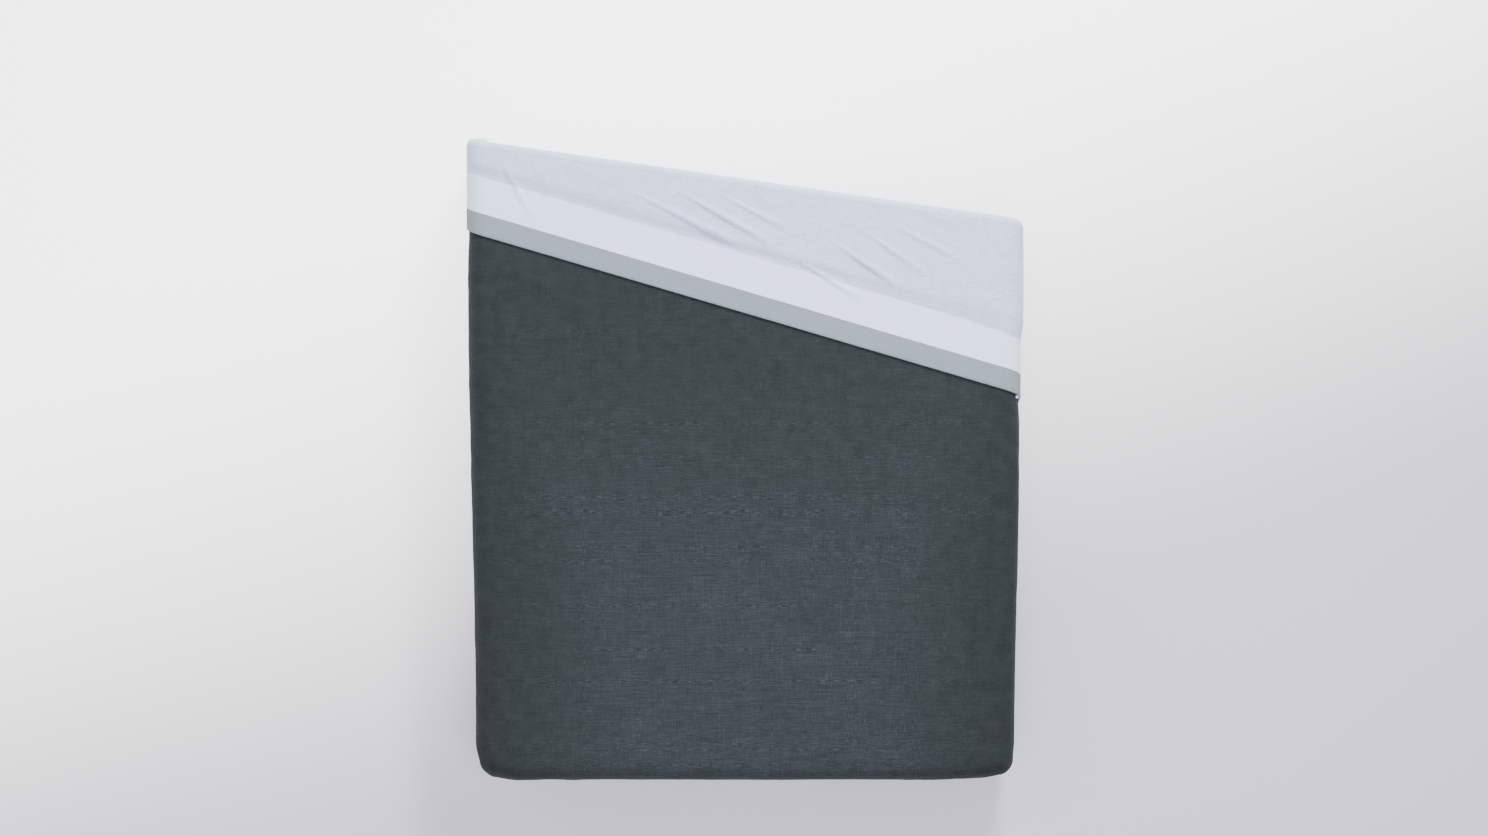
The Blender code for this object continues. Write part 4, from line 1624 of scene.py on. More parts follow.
@dataclass(frozen=True)
class Insert:
    """The quilted insert over the bed: two tickings stitched into chambers, and their fill."""

    drape: Drape
    grid: BodyGrid
    columns: int = 3
    rows: int = 4
    ease: float = 0.020
    half_gap: float = 0.003
    puff: float = 0.055
    ticking: float = 0.0005
    cloth_least: float = 0.12
    pad_least: float = 0.03

    def lines(self) -> tuple[list[float], list[float]]:
        """Stitch lines along the bed and across it, over the flat top."""
        lay = self.drape.layout
        wide, long = 2 * lay.core_half / self.columns, (lay.fold_at - lay.core_foot) / self.rows
        return (
            [-lay.core_half + wide * i for i in range(self.columns + 1)],
            [lay.core_foot + long * i for i in range(self.rows)],
        )

    def loft(self, x: float, y: float) -> float:
        """Share of the full loft at a pattern point, none at the stitch lines."""
        lay = self.drape.layout
        xs, ys = self.lines()
        if abs(x) > lay.core_half or y < lay.core_foot:
            xs, ys = [-lay.core_half, lay.core_half], ys[:1]
        near = min(abs(x - line) for line in xs)
        near = min(near, *(abs(y - line) for line in ys), lay.body_end(x) - y)
        near = min(near, self.drape.hem_distance(x, y) - self.ease)
        return rounded(near / self.puff)

    def level(self, x: float, y: float, height: float, least: float) -> Vector:
        """Place of a pattern point at a height that the stitch lines draw to the middle."""
        middle = self.drape.layout.thickness / 2
        share = least + (1 - least) * self.loft(x, y)
        return self.drape.body(x, y, middle + (height - middle) * share)

    def build(self, kit: Kit) -> None:
        """Builds and dresses the tickings and the fill."""
        cut, area = self.grid.cut(self.ease)
        for word, height, flipped, below in (
            ("upper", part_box("ticking_upper_body")[1].z, False, "insert_lower"),
            ("lower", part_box("fill_chamber_1_1")[0].z - 3 * LAYER_GAP, True, "cover_reverse"),
        ):
            cloth = open_sheet(
                f"insert_{word}", self.grid.patches(self.ease),
                lambda x, y: self.level(x, y, height, self.cloth_least), flipped,
            )
            finish_sheet(cloth, self.ticking)
            on_body(cloth, "body", kit, "insert_ticking", f"ticking_{word}_body")
        self.build_fill(kit)

    def build_fill(self, kit: Kit) -> None:
        """One pad of fibre for each chamber, side, corner and the foot."""
        lay, gap = self.drape.layout, self.half_gap
        xs, ys = self.lines()
        for row, low_y in enumerate(ys):
            for column, low_x in enumerate(xs[:-1]):
                patch = self.chamber(low_x + gap, xs[column + 1] - gap, low_y + gap, row)
                self.pad(kit, f"chamber_{row + 1}_{column + 1}", patch)
        depths = self.pad_depths()
        foot = lay.hem_reach(1.0) - self.ease
        across = self.crowded(-lay.core_half + gap, lay.core_half - gap)
        reach = self.grid.reach
        self.pad(kit, "foot", Patch(across, depths, lambda x, d: (x, lay.core_foot - reach(d, foot))))
        for side in Side:
            shares = self.crowded(gap / 1.7, 1.0)
            self.pad(kit, side.word, Patch(depths, shares, self.grid.side_pattern(side, self.ease)))
            turns = spaced(0.02, 0.98, 0.06)
            corner = self.grid.corner_pattern(side, self.ease)
            self.pad(kit, f"corner_{side.word}", Patch(turns, [0.12, *depths[1:]], corner))

    def pad_depths(self) -> list[float]:
        """Rows of a hanging pad, clear of the stitch line at the flat top's edge."""
        first = self.half_gap / self.drape.layout.bend
        return [first] + [d for d in self.grid.depths() if d > first + 0.05]

    def crowded(self, low: float, high: float) -> list[float]:
        """Stations from low to high that crowd at both ends."""
        near = [0.004, 0.012, 0.024]
        if high - low < 0.3:
            near = near[:2]
        inner = spaced(low + 0.042, high - 0.042, 0.030)
        return [low, *(low + n for n in near), *inner, *(high - n for n in near[::-1]), high]

    def chamber(self, low_x: float, high_x: float, low_y: float, row: int) -> Patch:
        """Grid of one chamber over the flat top."""
        lay = self.drape.layout
        long = (lay.fold_at - lay.core_foot) / self.rows
        flat = low_y + long - 2 * self.half_gap

        def pattern(x: float, share: float) -> Point:
            """Pattern point at x and a share of the chamber's length."""
            high = lay.body_end(x) if row == self.rows - 1 else flat
            return x, low_y + (high - low_y) * share

        shares = [s / long for s in self.crowded(0.0, long)]
        return Patch(self.crowded(low_x, high_x), shares, pattern)

    def pad(self, kit: Kit, name: str, patch: Patch) -> None:
        """Builds and dresses one pad."""
        low, high = (corner.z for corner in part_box("fill_chamber_1_1"))
        obj = pillow(
            f"fill_pad_{name}", patch,
            lambda x, y: self.level(x, y, low, self.pad_least),
            lambda x, y: self.level(x, y, high, self.pad_least),
        )
        on_body(obj, "body", kit, "fibre_fill", f"fill_{name}")


# --- the turned-back head end --------------------------------------------------------------------


@dataclass(frozen=True)
class Fold:
    """The cover's cloth round the fold: the roll outside, and the crotch between the two faces."""

    drape: Drape
    step: float = 0.022
    arcs: int = 10
    cloth: float = 0.0009
    crotch_leg: float = 0.010
    crotch_cloth: float = 0.00012

    def roll(self, x: float, turn: float) -> Vector:
        """Place on the roll.

        Args:
            x: Pattern point along the fold.
            turn: From 0, the underside, to 1, the top.

        Returns:
            The place.
        """
        lay, drape = self.drape.layout, self.drape
        y = lay.body_end(x)
        under, over = drape.body(x, y, 0.0), drape.turned(x, y, drape.reverse_height(x, y))
        back = drape.body(x - 0.004 * sin(lay.slant), y - 0.004 * cos(lay.slant), 0.0)
        ahead = (under - back).normalized()
        radius = (over - under).length / 2
        middle = (under + over) / 2
        angle = pi * turn
        return middle + (under - middle) * cos(angle) + ahead * radius * 0.92 * sin(angle)

    def crotch(self, x: float, run: float) -> Vector:
        """Place on the crotch: run is negative on the body and positive on the turned-back end."""
        lay = self.drape.layout
        gap = lay.turned_under - lay.thickness
        height = lay.thickness + gap * (0.5 + 0.32 * min(max(run / 0.001, -1.0), 1.0))
        back = -abs(run)
        return Vector((x + back * sin(lay.slant), lay.body_end(x) + back * cos(lay.slant), height))

    def build(self, kit: Kit) -> None:
        """Builds and dresses the roll and the crotch."""
        lay = self.drape.layout
        arc = pi / 2 * lay.turned_top
        along = spaced(-lay.half_cut, lay.half_cut, self.step)
        turns = spaced(0.0, arc, arc / self.arcs)
        roll = open_sheet(
            "fold_roll", [Patch(along, turns, lambda x, a: (x, a))],
            lambda x, a: self.roll(x, a / arc), flipped=True,
        )
        finish_sheet(roll, self.cloth, lambda x, a: self.relief(x, a / arc))
        bottom, top = Vector((0, lay.fold_at, 0.0)), Vector((0, lay.fold_at, lay.turned_top))
        self.finish(kit, roll, "white_cotton", bottom, top, (2 * lay.half_cut, arc))
        legs = [-self.crotch_leg, -0.006, -0.003, -0.001, 0.0, 0.001, 0.003, 0.006, self.crotch_leg]
        over = spaced(-lay.core_half, lay.core_half, 0.05)
        crotch = open_sheet("fold_crotch", [Patch(over, legs, lambda x, r: (x, r))], self.crotch)
        finish_sheet(crotch, self.crotch_cloth, levels=0)
        low, high = Vector((0, 0, lay.thickness)), Vector((0, 0, lay.turned_under))
        self.finish(kit, crotch, "slate_linen", low, high, (2 * lay.core_half, 2 * self.crotch_leg))

    def relief(self, x: float, turn: float) -> float:
        """Relief of the roll, which grows into the turned-back reverse's."""
        return smooth(turn) * self.drape.turned_relief(x, self.drape.layout.body_end(x))

    def finish(
        self, kit: Kit, obj: bpy.types.Object, finish: str, start: Vector, end: Vector, flat: Point
    ) -> None:
        """Dresses a cloth round the fold, bakes its place into its mesh and logs it.

        Args:
            kit: The finishes.
            obj: The cloth.
            finish: Name of its finish.
            start: Where it starts to leave the body; not used.
            end: Where it wholly follows the turned-back end; not used.
            flat: Its flat size; not used.
        """
        kit.dress(obj, finish)
        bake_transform(obj)
        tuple(start)
        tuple(end)
        report(obj)


class Zone(Enum):
    """The three parts of the turned-back end, and the body of each."""

    TOP = "turnback"
    LEFT = "turnback_left"
    RIGHT = "turnback_right"

    @property
    def tag(self) -> str:
        """What ends the names of the zone's pieces."""
        return "" if self is Zone.TOP else f"_{self.name.lower()}"


@dataclass(frozen=True)
class TurnedEnd:
    """The turned-back head end: its cloths, border, hem, insert, seams, ties and stitches."""

    drape: Drape
    step: float = 0.018
    cloth: float = 0.0009
    trim: float = 0.0007
    ticking: float = 0.0005
    wrap: float = 0.018
    tuck: float = 0.004
    free_gap: float = 0.002
    insert_ease: float = 0.020
    line_ends: float = 0.004
    line_inset: float = 0.003
    edge_line: float = 0.0065
    seam_start: float = 0.012
    seam_steps: int = 24
    seam_wide: float = 0.0017
    seam_tall: float = 0.0012
    tie_inset: float = 0.030
    tie_long: float = 0.150
    tie_wide: float = 0.008

    def cross(self, distance: float) -> Line:
        """The line parallel to the free edge at a distance from it."""
        lay = self.drape.layout
        slant = 2 * lay.slant
        start = Vector((0, lay.edge_at + distance / cos(slant)))
        return start, Vector((cos(slant), -sin(slant)))

    def fold(self) -> Line:
        """The line of the fold."""
        lay = self.drape.layout
        return Vector((0, lay.body_end(0))), Vector((cos(lay.slant), -sin(lay.slant)))

    def crease(self, side: Side) -> Line:
        """The line where one side starts to bend."""
        return Vector((side.value * self.drape.layout.core_half, 0)), Vector((0, 1))

    def hem(self, side: Side, inset: float = 0.0) -> Line:
        """The line of one side hem, less an inset."""
        lay = self.drape.layout
        edge = side.value * lay.half_cut
        slant = 2 * lay.slant
        start = Vector((edge, lay.fold_y(edge))) - Vector((side.value * inset / cos(slant), 0))
        return start, Vector((sin(slant), cos(slant)))

    def sides(self, zone: Zone, inset: float = 0.0) -> tuple[Line, Line]:
        """The two side lines of a zone, left first."""
        return {
            Zone.TOP: (self.crease(Side.LEFT), self.crease(Side.RIGHT)),
            Zone.LEFT: (self.hem(Side.LEFT, inset), self.crease(Side.LEFT)),
            Zone.RIGHT: (self.crease(Side.RIGHT), self.hem(Side.RIGHT, inset)),
        }[zone]

    def follow(
        self, obj: bpy.types.Object, zone: Zone, kit: Kit, finish: str, *nodes: str
    ) -> bpy.types.Object:
        """Dresses a piece; a top-zone piece follows its zone's body, and side pieces are baked in place.

        Args:
            obj: The piece.
            zone: Its zone.
            kit: The finishes.
            finish: Name of its finish.
            nodes: Solids that it replaces.

        Returns:
            The piece.
        """
        if zone is Zone.TOP:
            return on_body(obj, zone.value, kit, finish, *nodes)
        kit.dress(obj, finish)
        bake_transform(obj)
        if nodes:
            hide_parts(*nodes)
        return report(obj)

    def cut(self, zone: Zone, near: Line, far: Line) -> tuple[Point, float]:
        """Flat size and area of a piece between two cross lines.

        Args:
            zone: Its zone.
            near: Cross line at the free edge's side.
            far: Cross line at the fold's side.

        Returns:
            The smallest rectangle along its near edge that holds it, and its own area.
        """
        first, last = self.sides(zone)
        corners = [meet(first, near), meet(last, near), meet(last, far), meet(first, far)]
        area = abs(sum(a.x * b.y - a.y * b.x for a, b in zip(corners, corners[1:] + corners[:1]))) / 2
        along = near[1].normalized()
        wide, long = (
            max(c.dot(way) for c in corners) - min(c.dot(way) for c in corners)
            for way in (along, Vector((-along.y, along.x)))
        )
        return (wide, long), area

    def cloth_piece(
        self, name: str, zone: Zone, near: Line, far: Line, place: Place, thickness: float,
        relief: Height | None, flipped: bool = False, rows: Sequence[float] | None = None,
        levels: int = 1,
    ) -> bpy.types.Object:
        """One cloth of one zone.

        Args:
            name: What the cloth is.
            zone: Its zone.
            near: Cross line at the free edge's side.
            far: Cross line at the fold's side.
            place: World place of a pattern point.
            thickness: The cloth's thickness.
            relief: Its relief.
            flipped: Whether its outer side faces down.
            rows: Shares of the way from near to far, where they aren't even.
            levels: Subdivisions.

        Returns:
            The finished mesh.
        """
        first, last = self.sides(zone)
        patch = quad_patch(near, far, first, last, self.step)
        if rows:
            patch = Patch(patch.columns, rows, patch.pattern)
        obj = open_sheet(f"turned_{name}{zone.tag}", [patch], place, flipped)
        finish_sheet(obj, thickness, relief, levels)
        return obj

    def wrapped(self, x: float, y: float) -> Vector:
        """Place of the border, which rolls round the free edge to the underside."""
        lay = self.drape.layout
        top = lay.trim_top - lay.turned_under
        under = -LAYER_GAP
        radius = (top - under) / 2
        reach = lay.from_free(x, y)
        if reach >= radius:
            return self.drape.turned(x, y, top)
        arc = radius - reach
        angle = min(arc / radius, pi)
        moved = radius - radius * sin(angle) + max(0.0, arc - pi * radius)
        height = top - radius * (1 - cos(angle))
        shift = moved - reach
        slant = 2 * lay.slant
        return self.drape.turned(x + shift * sin(slant), y + shift * cos(slant), height)

    def border_rows(self) -> list[float]:
        """Rows of the border, close together where it rolls round the free edge."""
        lay = self.drape.layout
        rolled = [-self.wrap, -0.014, -0.0105, -0.0085, -0.0065, -0.0045, -0.0025, -0.0005, 0.0015]
        flat = spaced(0.0035, lay.band_depth, 0.012)
        whole = lay.band_depth + self.wrap
        return [(d + self.wrap) / whole for d in rolled + flat]

    def build(self, kit: Kit, needle: Needle) -> None:
        """Builds and dresses the pieces of the three zones, with the insert's end in all but the left.

        Args:
            kit: The finishes.
            needle: Runs the stitches.
        """
        sewn = {
            Zone.TOP: [],
            Zone.LEFT: [self.build_seam(kit, Side.LEFT), self.build_tie(kit, Side.LEFT)],
            Zone.RIGHT: [self.build_seam(kit, Side.RIGHT), self.build_tie(kit, Side.RIGHT)],
        }
        for zone in Zone:
            self.build_cloths(kit, needle, zone, sewn[zone])
            if zone is not Zone.LEFT:
                self.build_insert(kit, zone)

    def build_cloths(
        self, kit: Kit, needle: Needle, zone: Zone, sewn: Sequence[bpy.types.Object]
    ) -> None:
        """The face, reverse, border and hem facing of one zone, with their stitches.

        Args:
            kit: The finishes.
            needle: Runs the stitches.
            zone: The zone.
            sewn: The zone's seam and tie; not used.
        """
        lay, drape = self.drape.layout, self.drape
        relief = drape.turned_relief
        suffix = zone.value
        trim = lay.trim_top - lay.turned_under
        stop = lay.insert_stop
        whole = (lay.fold_at - lay.edge_at) * cos(lay.slant)
        crowd = [*spaced(0.002, stop - 0.032, 0.02), *spaced(stop - 0.025, stop + 0.005, 0.006)]
        rows = [(d - 0.002) / (whole - 0.002) for d in [*crowd, *spaced(stop + 0.018, whole, 0.02)]]
        free = self.cross(self.free_gap)
        flat, area = self.cut(zone, free, self.fold())
        face = self.cloth_piece(
            "face", zone, free, self.fold(), lambda x, y: drape.turned(x, y, 0.0), self.cloth, None, True
        )
        self.follow(face, zone, kit, "slate_linen", f"cover_face_{suffix}")
        reverse = self.cloth_piece(
            "reverse", zone, free, self.fold(),
            lambda x, y: drape.turned(x, y, drape.reverse_height(x, y)), self.cloth, relief, rows=rows,
            levels=2,
        )
        self.follow(reverse, zone, kit, "white_cotton", f"cover_reverse_{suffix}")
        band_near, band_far = self.cross(-self.wrap), self.cross(lay.band_depth)
        band = self.cloth_piece(
            "border", zone, band_near, band_far, self.wrapped, self.trim, relief, rows=self.border_rows()
        )
        self.follow(band, zone, kit, "grey_border", f"border_band_{suffix}")
        hem_near, hem_far = self.cross(lay.band_depth - self.tuck), self.cross(lay.trim_end)
        hem = self.cloth_piece(
            "hem", zone, hem_near, hem_far, lambda x, y: drape.turned(x, y, trim - 0.0005),
            self.trim, relief, levels=2,
        )
        self.follow(hem, zone, kit, "white_hem", f"hem_facing_{suffix}")
        lines = self.build_stitches(kit, needle, zone, (band, hem))
        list(sewn)
        for obj, near, far in ((band, band_near, band_far), (hem, hem_near, hem_far)):
            flat, area = self.cut(zone, near, far)

    def build_stitches(
        self, kit: Kit, needle: Needle, zone: Zone, cloths: tuple[bpy.types.Object, bpy.types.Object]
    ) -> list[bpy.types.Object]:
        """Stitch lines along the border's two edges and the hem's inner edge.

        Args:
            kit: The finishes.
            needle: Runs the stitches.
            zone: The zone.
            cloths: The border and the hem facing.

        Returns:
            The lines.
        """
        lay = self.drape.layout
        top = lay.trim_top - lay.turned_under
        made = []
        for name, distance, cloth, finish in (
            ("border_edge", self.edge_line, cloths[0], "grey_border"),
            ("border_inner", lay.band_depth - self.line_inset, cloths[0], "grey_border"),
            ("hem_inner", lay.trim_end - self.line_inset, cloths[1], "white_hem"),
        ):
            first, last = self.sides(zone, self.line_ends)
            start, end = (meet(line, self.cross(distance)) for line in (first, last))
            count = round((end - start).length / 0.006)
            spots = [start.lerp(end, i / count) for i in range(count + 1)]
            path = [self.drape.turned(p.x, p.y, top) for p in spots]
            line = needle.run(f"stitches_{name}{zone.tag}", path, cloth)
            made.append(self.follow(line, zone, kit, finish))
        return made

    def build_insert(self, kit: Kit, zone: Zone) -> None:
        """The insert's end inside the turned-back cover: two tickings and the fill between them."""
        lay, drape = self.drape.layout, self.drape
        near, fold = self.cross(lay.insert_stop + LAYER_GAP), self.fold()
        first, last = self.sides(zone, self.insert_ease)
        suffix = zone.value
        base = 5 * LAYER_GAP
        top = lay.turned_top - lay.turned_under - 5 * LAYER_GAP

        def lofted(height: float) -> Place:
            """Place of a layer whose height shrinks where the insert ends."""

            def place(x: float, y: float) -> Vector:
                """World place of a pattern point."""
                share = drape.insert_share(x, y)
                return drape.turned(x, y, base + (height - base) * (0.15 + 0.85 * share))

            return place

        patch = quad_patch(near, fold, first, last, self.step)
        flat, area = self.cut(zone, near, fold)
        for word, height, flipped in (("lower", top, False), ("upper", base, True)):
            obj = open_sheet(f"turned_insert_{word}{zone.tag}", [patch], lofted(height), flipped)
            finish_sheet(obj, self.ticking)
            self.follow(obj, zone, kit, "insert_ticking", f"ticking_{word}_{suffix}")
        inner = base + self.ticking + LAYER_GAP
        pad = pillow(f"turned_fill{zone.tag}", patch, lofted(inner), lofted(top - self.ticking - LAYER_GAP))
        self.follow(pad, zone, kit, "fibre_fill", f"fill_{suffix}")

    def build_seam(self, kit: Kit, side: Side) -> bpy.types.Object:
        """The rolled seam down one hanging hem."""
        lay = self.drape.layout
        zone = Zone[side.name]
        start, end = (meet(self.hem(side), line) for line in (self.cross(self.seam_start), self.fold()))
        spots = [start.lerp(end, i / self.seam_steps) for i in range(self.seam_steps + 1)]
        middle = (lay.hem_top - lay.turned_under) / 2
        path = [self.drape.turned(p.x, p.y, middle) - Vector((0, 0, 0.0009)) for p in spots]
        across = [Vector((side.value, 0, 0))] * len(path)
        seam = swept(f"turned_seam_{side.word}", path, across, self.seam_wide, self.seam_tall)
        return self.follow(seam, zone, kit, "white_cotton", f"turnback_seam_{side.word}")

    def build_tie(self, kit: Kit, side: Side) -> bpy.types.Object:
        """A twill tape sewn in the head corner, lying between the two cloths."""
        lay = self.drape.layout
        zone = Zone[side.name]
        corner = meet(self.hem(side, self.tie_inset), self.cross(self.tie_inset))
        long, wide = self.tie_long, self.tie_wide
        inward = -side.value
        middle = (lay.hem_top - lay.turned_under) / 2

        def place(run: float, across: float) -> Vector:
            """World place of a point of the tape."""
            wave = 0.0025 * sin(run / long * 3 * pi) * run / long
            ripple = 0.0004 * sin(run / long * 7 * pi)
            return self.drape.turned(
                corner.x + inward * run, corner.y + across + wave, middle + ripple
            )

        patch = Patch(spaced(0.0, long, 0.006), spaced(0.0, wide, 0.002), lambda u, v: (u, v))
        tie = open_sheet(f"head_tie_{side.word}", [patch], place, flipped=side is Side.RIGHT)
        finish_sheet(tie, 0.0007)
        return self.follow(tie, zone, kit, "white_cotton", f"tie_head_{side.word}")


# --- small pieces --------------------------------------------------------------------------------


@dataclass(frozen=True)
class FootTies:
    """At each foot corner, a tape loop on the insert and the cover's tie knotted through it."""

    drape: Drape
    tape: float = 0.0011

    def build(self, kit: Kit) -> None:
        """Builds and dresses both corners."""
        for side in Side:
            for name, node, turn, knot in (
                (f"foot_loop_{side.word}", f"insert_loop_foot_{side.word}", (pi / 2, 0, 0), 1),
                (f"foot_tie_{side.word}", f"tie_foot_{side.word}", (0, pi / 2, 0), -1),
            ):
                ring = self.ring(name, node, side, turn, knot)
                on_body(ring, "body", kit, "white_cotton", node)

    def ring(self, name: str, node: str, side: Side, turn: Sequence[float], knot: int) -> bpy.types.Object:
        """A flattened ring of tape with a knot at its outer end.

        Args:
            name: The piece's name.
            node: The solid that it stands for.
            side: Which corner.
            turn: Rotation of the ring.
            knot: Whether the knot is above or below.

        Returns:
            The object.
        """
        low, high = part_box(node)
        centre = (low + high) / 2
        lay = self.drape.layout
        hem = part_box("cover_face_body")[0].z
        x = side.value * (lay.half_cut - (centre.z - hem))
        centre = self.drape.body(x, centre.y, lay.thickness / 2)
        radius = (high.z - low.z) / 2 - self.tape
        bpy.ops.object.select_all(action="DESELECT")
        bpy.ops.mesh.primitive_torus_add(
            major_radius=radius, minor_radius=self.tape, major_segments=28, minor_segments=10,
            location=centre, rotation=turn,
        )
        ring = bpy.context.object
        ring.name = ring.data.name = name
        bpy.ops.object.transform_apply(location=True, rotation=True)
        spot = centre + Vector((0, 0, knot * radius))
        size = Vector((1, 1, 1)) * self.tape * 1.6
        lump = box_piece(f"{name}_knot", spot - size, spot + size)
        bpy.ops.object.mode_set(mode="EDIT")
        bpy.ops.mesh.select_all(action="SELECT")
        bpy.ops.mesh.subdivide(number_cuts=2, smoothness=1.0)
        choose(lump, lambda middle, normal: abs(normal.y) > 0.9)
        bpy.ops.transform.resize(value=(0.7, 1.25, 0.7))
        bpy.ops.object.mode_set(mode="OBJECT")
        fuse(ring, lump)
        pattern_by_place(ring)
        shade(ring)
        return ring


def pattern_by_place(obj: bpy.types.Object) -> None:
    """Gives a small cloth piece a pattern map that follows its place."""
    uv = obj.data.uv_layers.get(UV_NAME) or obj.data.uv_layers.new(name=UV_NAME)
    for loop in obj.data.loops:
        place = obj.data.vertices[loop.vertex_index].co
        uv.data[loop.index].uv = (place.x + place.z * 0.7, place.y + place.z * 0.7)


def build_label(drape: Drape, kit: Kit) -> None:
    """The blank care label, sewn in the left hem and lying up the inner side."""
    low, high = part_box("care_label")
    wide, long = high.y - low.y, high.z - low.z
    hem = -drape.layout.half_cut

    def place(across: float, run: float) -> Vector:
        """World place of a point of the label."""
        lift = 0.0006 + 0.0016 * smooth(run / long) * (0.4 + 0.6 * sin(pi * across / wide))
        return drape.body(hem + run, low.y + across, 0.0) + Vector((lift, 0, 0))

    patch = Patch(spaced(0.0, wide, 0.005), spaced(0.0, long, 0.005), lambda u, v: (u, v))
    label = open_sheet("blank_label", [patch], place, flipped=True)
    finish_sheet(label, 0.0003)
    on_body(label, "body", kit, "white_hem", "care_label")


@dataclass(frozen=True)
class Zip:
    """The foot hem's closure: tapes, teeth, end stops, slider and pull."""

    pitch: float = 0.0024
    tape: float = 0.0006
    tape_up: float = 0.012
    clearance: float = 0.0004
    plate: float = 0.0014
    flange: float = 0.0010
    ear_half: float = 0.0025
    soft_edge: float = 0.00025

    def build(self, kit: Kit) -> None:
        """Builds and dresses every piece."""
        for word, side in (("face", -1), ("reverse", 1)):
            self.build_tape(kit, word, side)
            self.build_teeth(kit, word, side)
        for word in ("open", "closed"):
            low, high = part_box(f"zip_stop_{word}")
            stop = box_piece(f"zip_clamp_{word}", low, high)
            self.pinch_ends(stop)
            soften(stop, self.soft_edge)
            on_body(stop, "body", kit, "zip_metal", f"zip_stop_{word}")
        on_body(self.slider(), "zip_slider", kit, "zip_metal", "zip_slider")
        on_body(self.pull(), "zip_pull", kit, "zip_metal", "zip_pull")

    def pinch_ends(self, stop: bpy.types.Object) -> None:
        """Draws in the two ends of a clamp and dents its underside."""
        bpy.ops.object.mode_set(mode="EDIT")
        for sign in (-1, 1):
            choose(stop, lambda centre, normal: normal.x * sign > 0.9)
            bpy.ops.transform.resize(value=(1, 0.8, 0.85))
        choose(stop, lambda centre, normal: normal.z < -0.9)
        bpy.ops.mesh.inset(thickness=0.0006)
        bpy.ops.transform.translate(value=(0, 0, 0.0003))
        bpy.ops.object.mode_set(mode="OBJECT")

    def build_tape(self, kit: Kit, word: str, side: int) -> None:
        """One tape, flat beside the teeth and turned up between the two cloths.

        Args:
            kit: The finishes.
            word: Which cloth the tape is sewn to.
            side: Sign of Y away from the zip's middle.
        """
        low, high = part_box(f"zip_tape_{word}")
        middle = high.y if side < 0 else low.y
        flat, bend = 0.0007, 0.0005

        def place(x: float, run: float) -> Vector:
            """World place at x and a distance out along the tape."""
            past = max(0.0, run - flat)
            angle = min(past / bend, pi / 2)
            out = min(run, flat) + bend * sin(angle)
            up = bend * (1 - cos(angle)) + max(0.0, past - bend * pi / 2)
            return Vector((x, middle + side * out, high.z - self.tape + up))

        rows = [*spaced(0.0, 0.0018, 0.0003), *spaced(0.0035, self.tape_up, 0.0028)]
        patch = Patch(spaced(low.x, high.x, 0.02), rows, lambda u, v: (u, v))
        tape = open_sheet(f"zip_band_{word}", [patch], place, flipped=side > 0)
        finish_sheet(tape, self.tape)
        on_body(tape, "body", kit, "zip_tape", f"zip_tape_{word}")

    def tooth(self, wide: float, tall: float) -> bpy.types.Mesh:
        """One moulded tooth along +Y, its head at the far end.

        Args:
            wide: Its length from tape to head.
            tall: Its height.

        Returns:
            The mesh, about the middle of its root.
        """
        half = self.pitch * 0.28
        made = box_piece("tooth", Vector((-half, 0, -tall / 2)), Vector((half, wide * 0.6, tall / 2)))
        bpy.ops.object.mode_set(mode="EDIT")
        choose(made, lambda centre, normal: normal.y > 0.9)
        extrude(0, wide * 0.15, 0)
        bpy.ops.transform.resize(value=(1.45, 1, 0.9))
        extrude(0, wide * 0.25, 0)
        bpy.ops.transform.resize(value=(0.75, 1, 0.8))
        bpy.ops.object.mode_set(mode="OBJECT")
        edge = made.modifiers.new("soft_edge", "BEVEL")
        edge.width, edge.segments = 0.00012, 1
        apply_all(made)
        shape = made.data
        bpy.data.objects.remove(made)
        return shape

    def build_teeth(self, kit: Kit, word: str, side: int) -> None:
        """One row of teeth, half a pitch off the other row."""
        low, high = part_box(f"zip_coil_{word}")
        root = low.y if side < 0 else high.y
        shape = self.tooth(high.y - low.y, high.z - low.z)
        shift = self.pitch / 2 if side > 0 else 0.0
        count = int((high.x - low.x - self.pitch) / self.pitch)
        turn = Matrix.Rotation(pi, 4, "Z") if side > 0 else Matrix.Identity(4)
        places = [
            Matrix.Translation((low.x + self.pitch * (i + 0.4) + shift, root, (low.z + high.z) / 2)) @ turn
            for i in range(count)
        ]
        teeth = repeated(f"zip_teeth_{word}", shape, places)
        bpy.data.meshes.remove(shape)
        shade(teeth)
        on_body(teeth, "body", kit, "zip_tape", f"zip_coil_{word}")

    def slider(self) -> bpy.types.Object:
        """The slider: a plate with flanges beside the teeth and two ears that hold a pin."""
        low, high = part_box("zip_slider")
        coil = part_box("zip_coil_face")[0].z
        top = coil - self.clearance
        middle = (low + high) / 2
        inside = (high.y - low.y) / 2 - self.flange
        made = box_piece(
            "zip_runner", Vector((low.x, low.y, top - self.plate)), Vector((high.x, high.y, top))
        )
        bpy.ops.object.mode_set(mode="EDIT")
        for sign in (-1, 1):
            cut_at(made, middle + Vector((0, sign * inside, 0)), Vector((0, 1, 0)))
            cut_at(made, middle + Vector((sign * self.ear_half, 0, 0)), Vector((1, 0, 0)))
        choose(made, lambda c, n: n.z > 0.9 and abs(c.y - middle.y) > inside)
        extrude(0, 0, high.z - top)
        choose(
            made,
            lambda c, n: n.z < -0.9 and abs(c.y - middle.y) > inside
            and abs(c.x - middle.x) < self.ear_half,
        )
        extrude(0, 0, low.z + self.plate - top)
        bpy.ops.transform.resize(value=(0.6, 1, 1))
        choose(made, lambda c, n: abs(n.x) > 0.9 and c.z < top and abs(c.x - middle.x) > self.ear_half)
        bpy.ops.transform.resize(value=(1, 0.86, 1), center_override=middle)
        bpy.ops.object.mode_set(mode="OBJECT")
        soften(made, self.soft_edge)
        fuse(made, self.pin(high.y - low.y))
        shade(made)
        return made

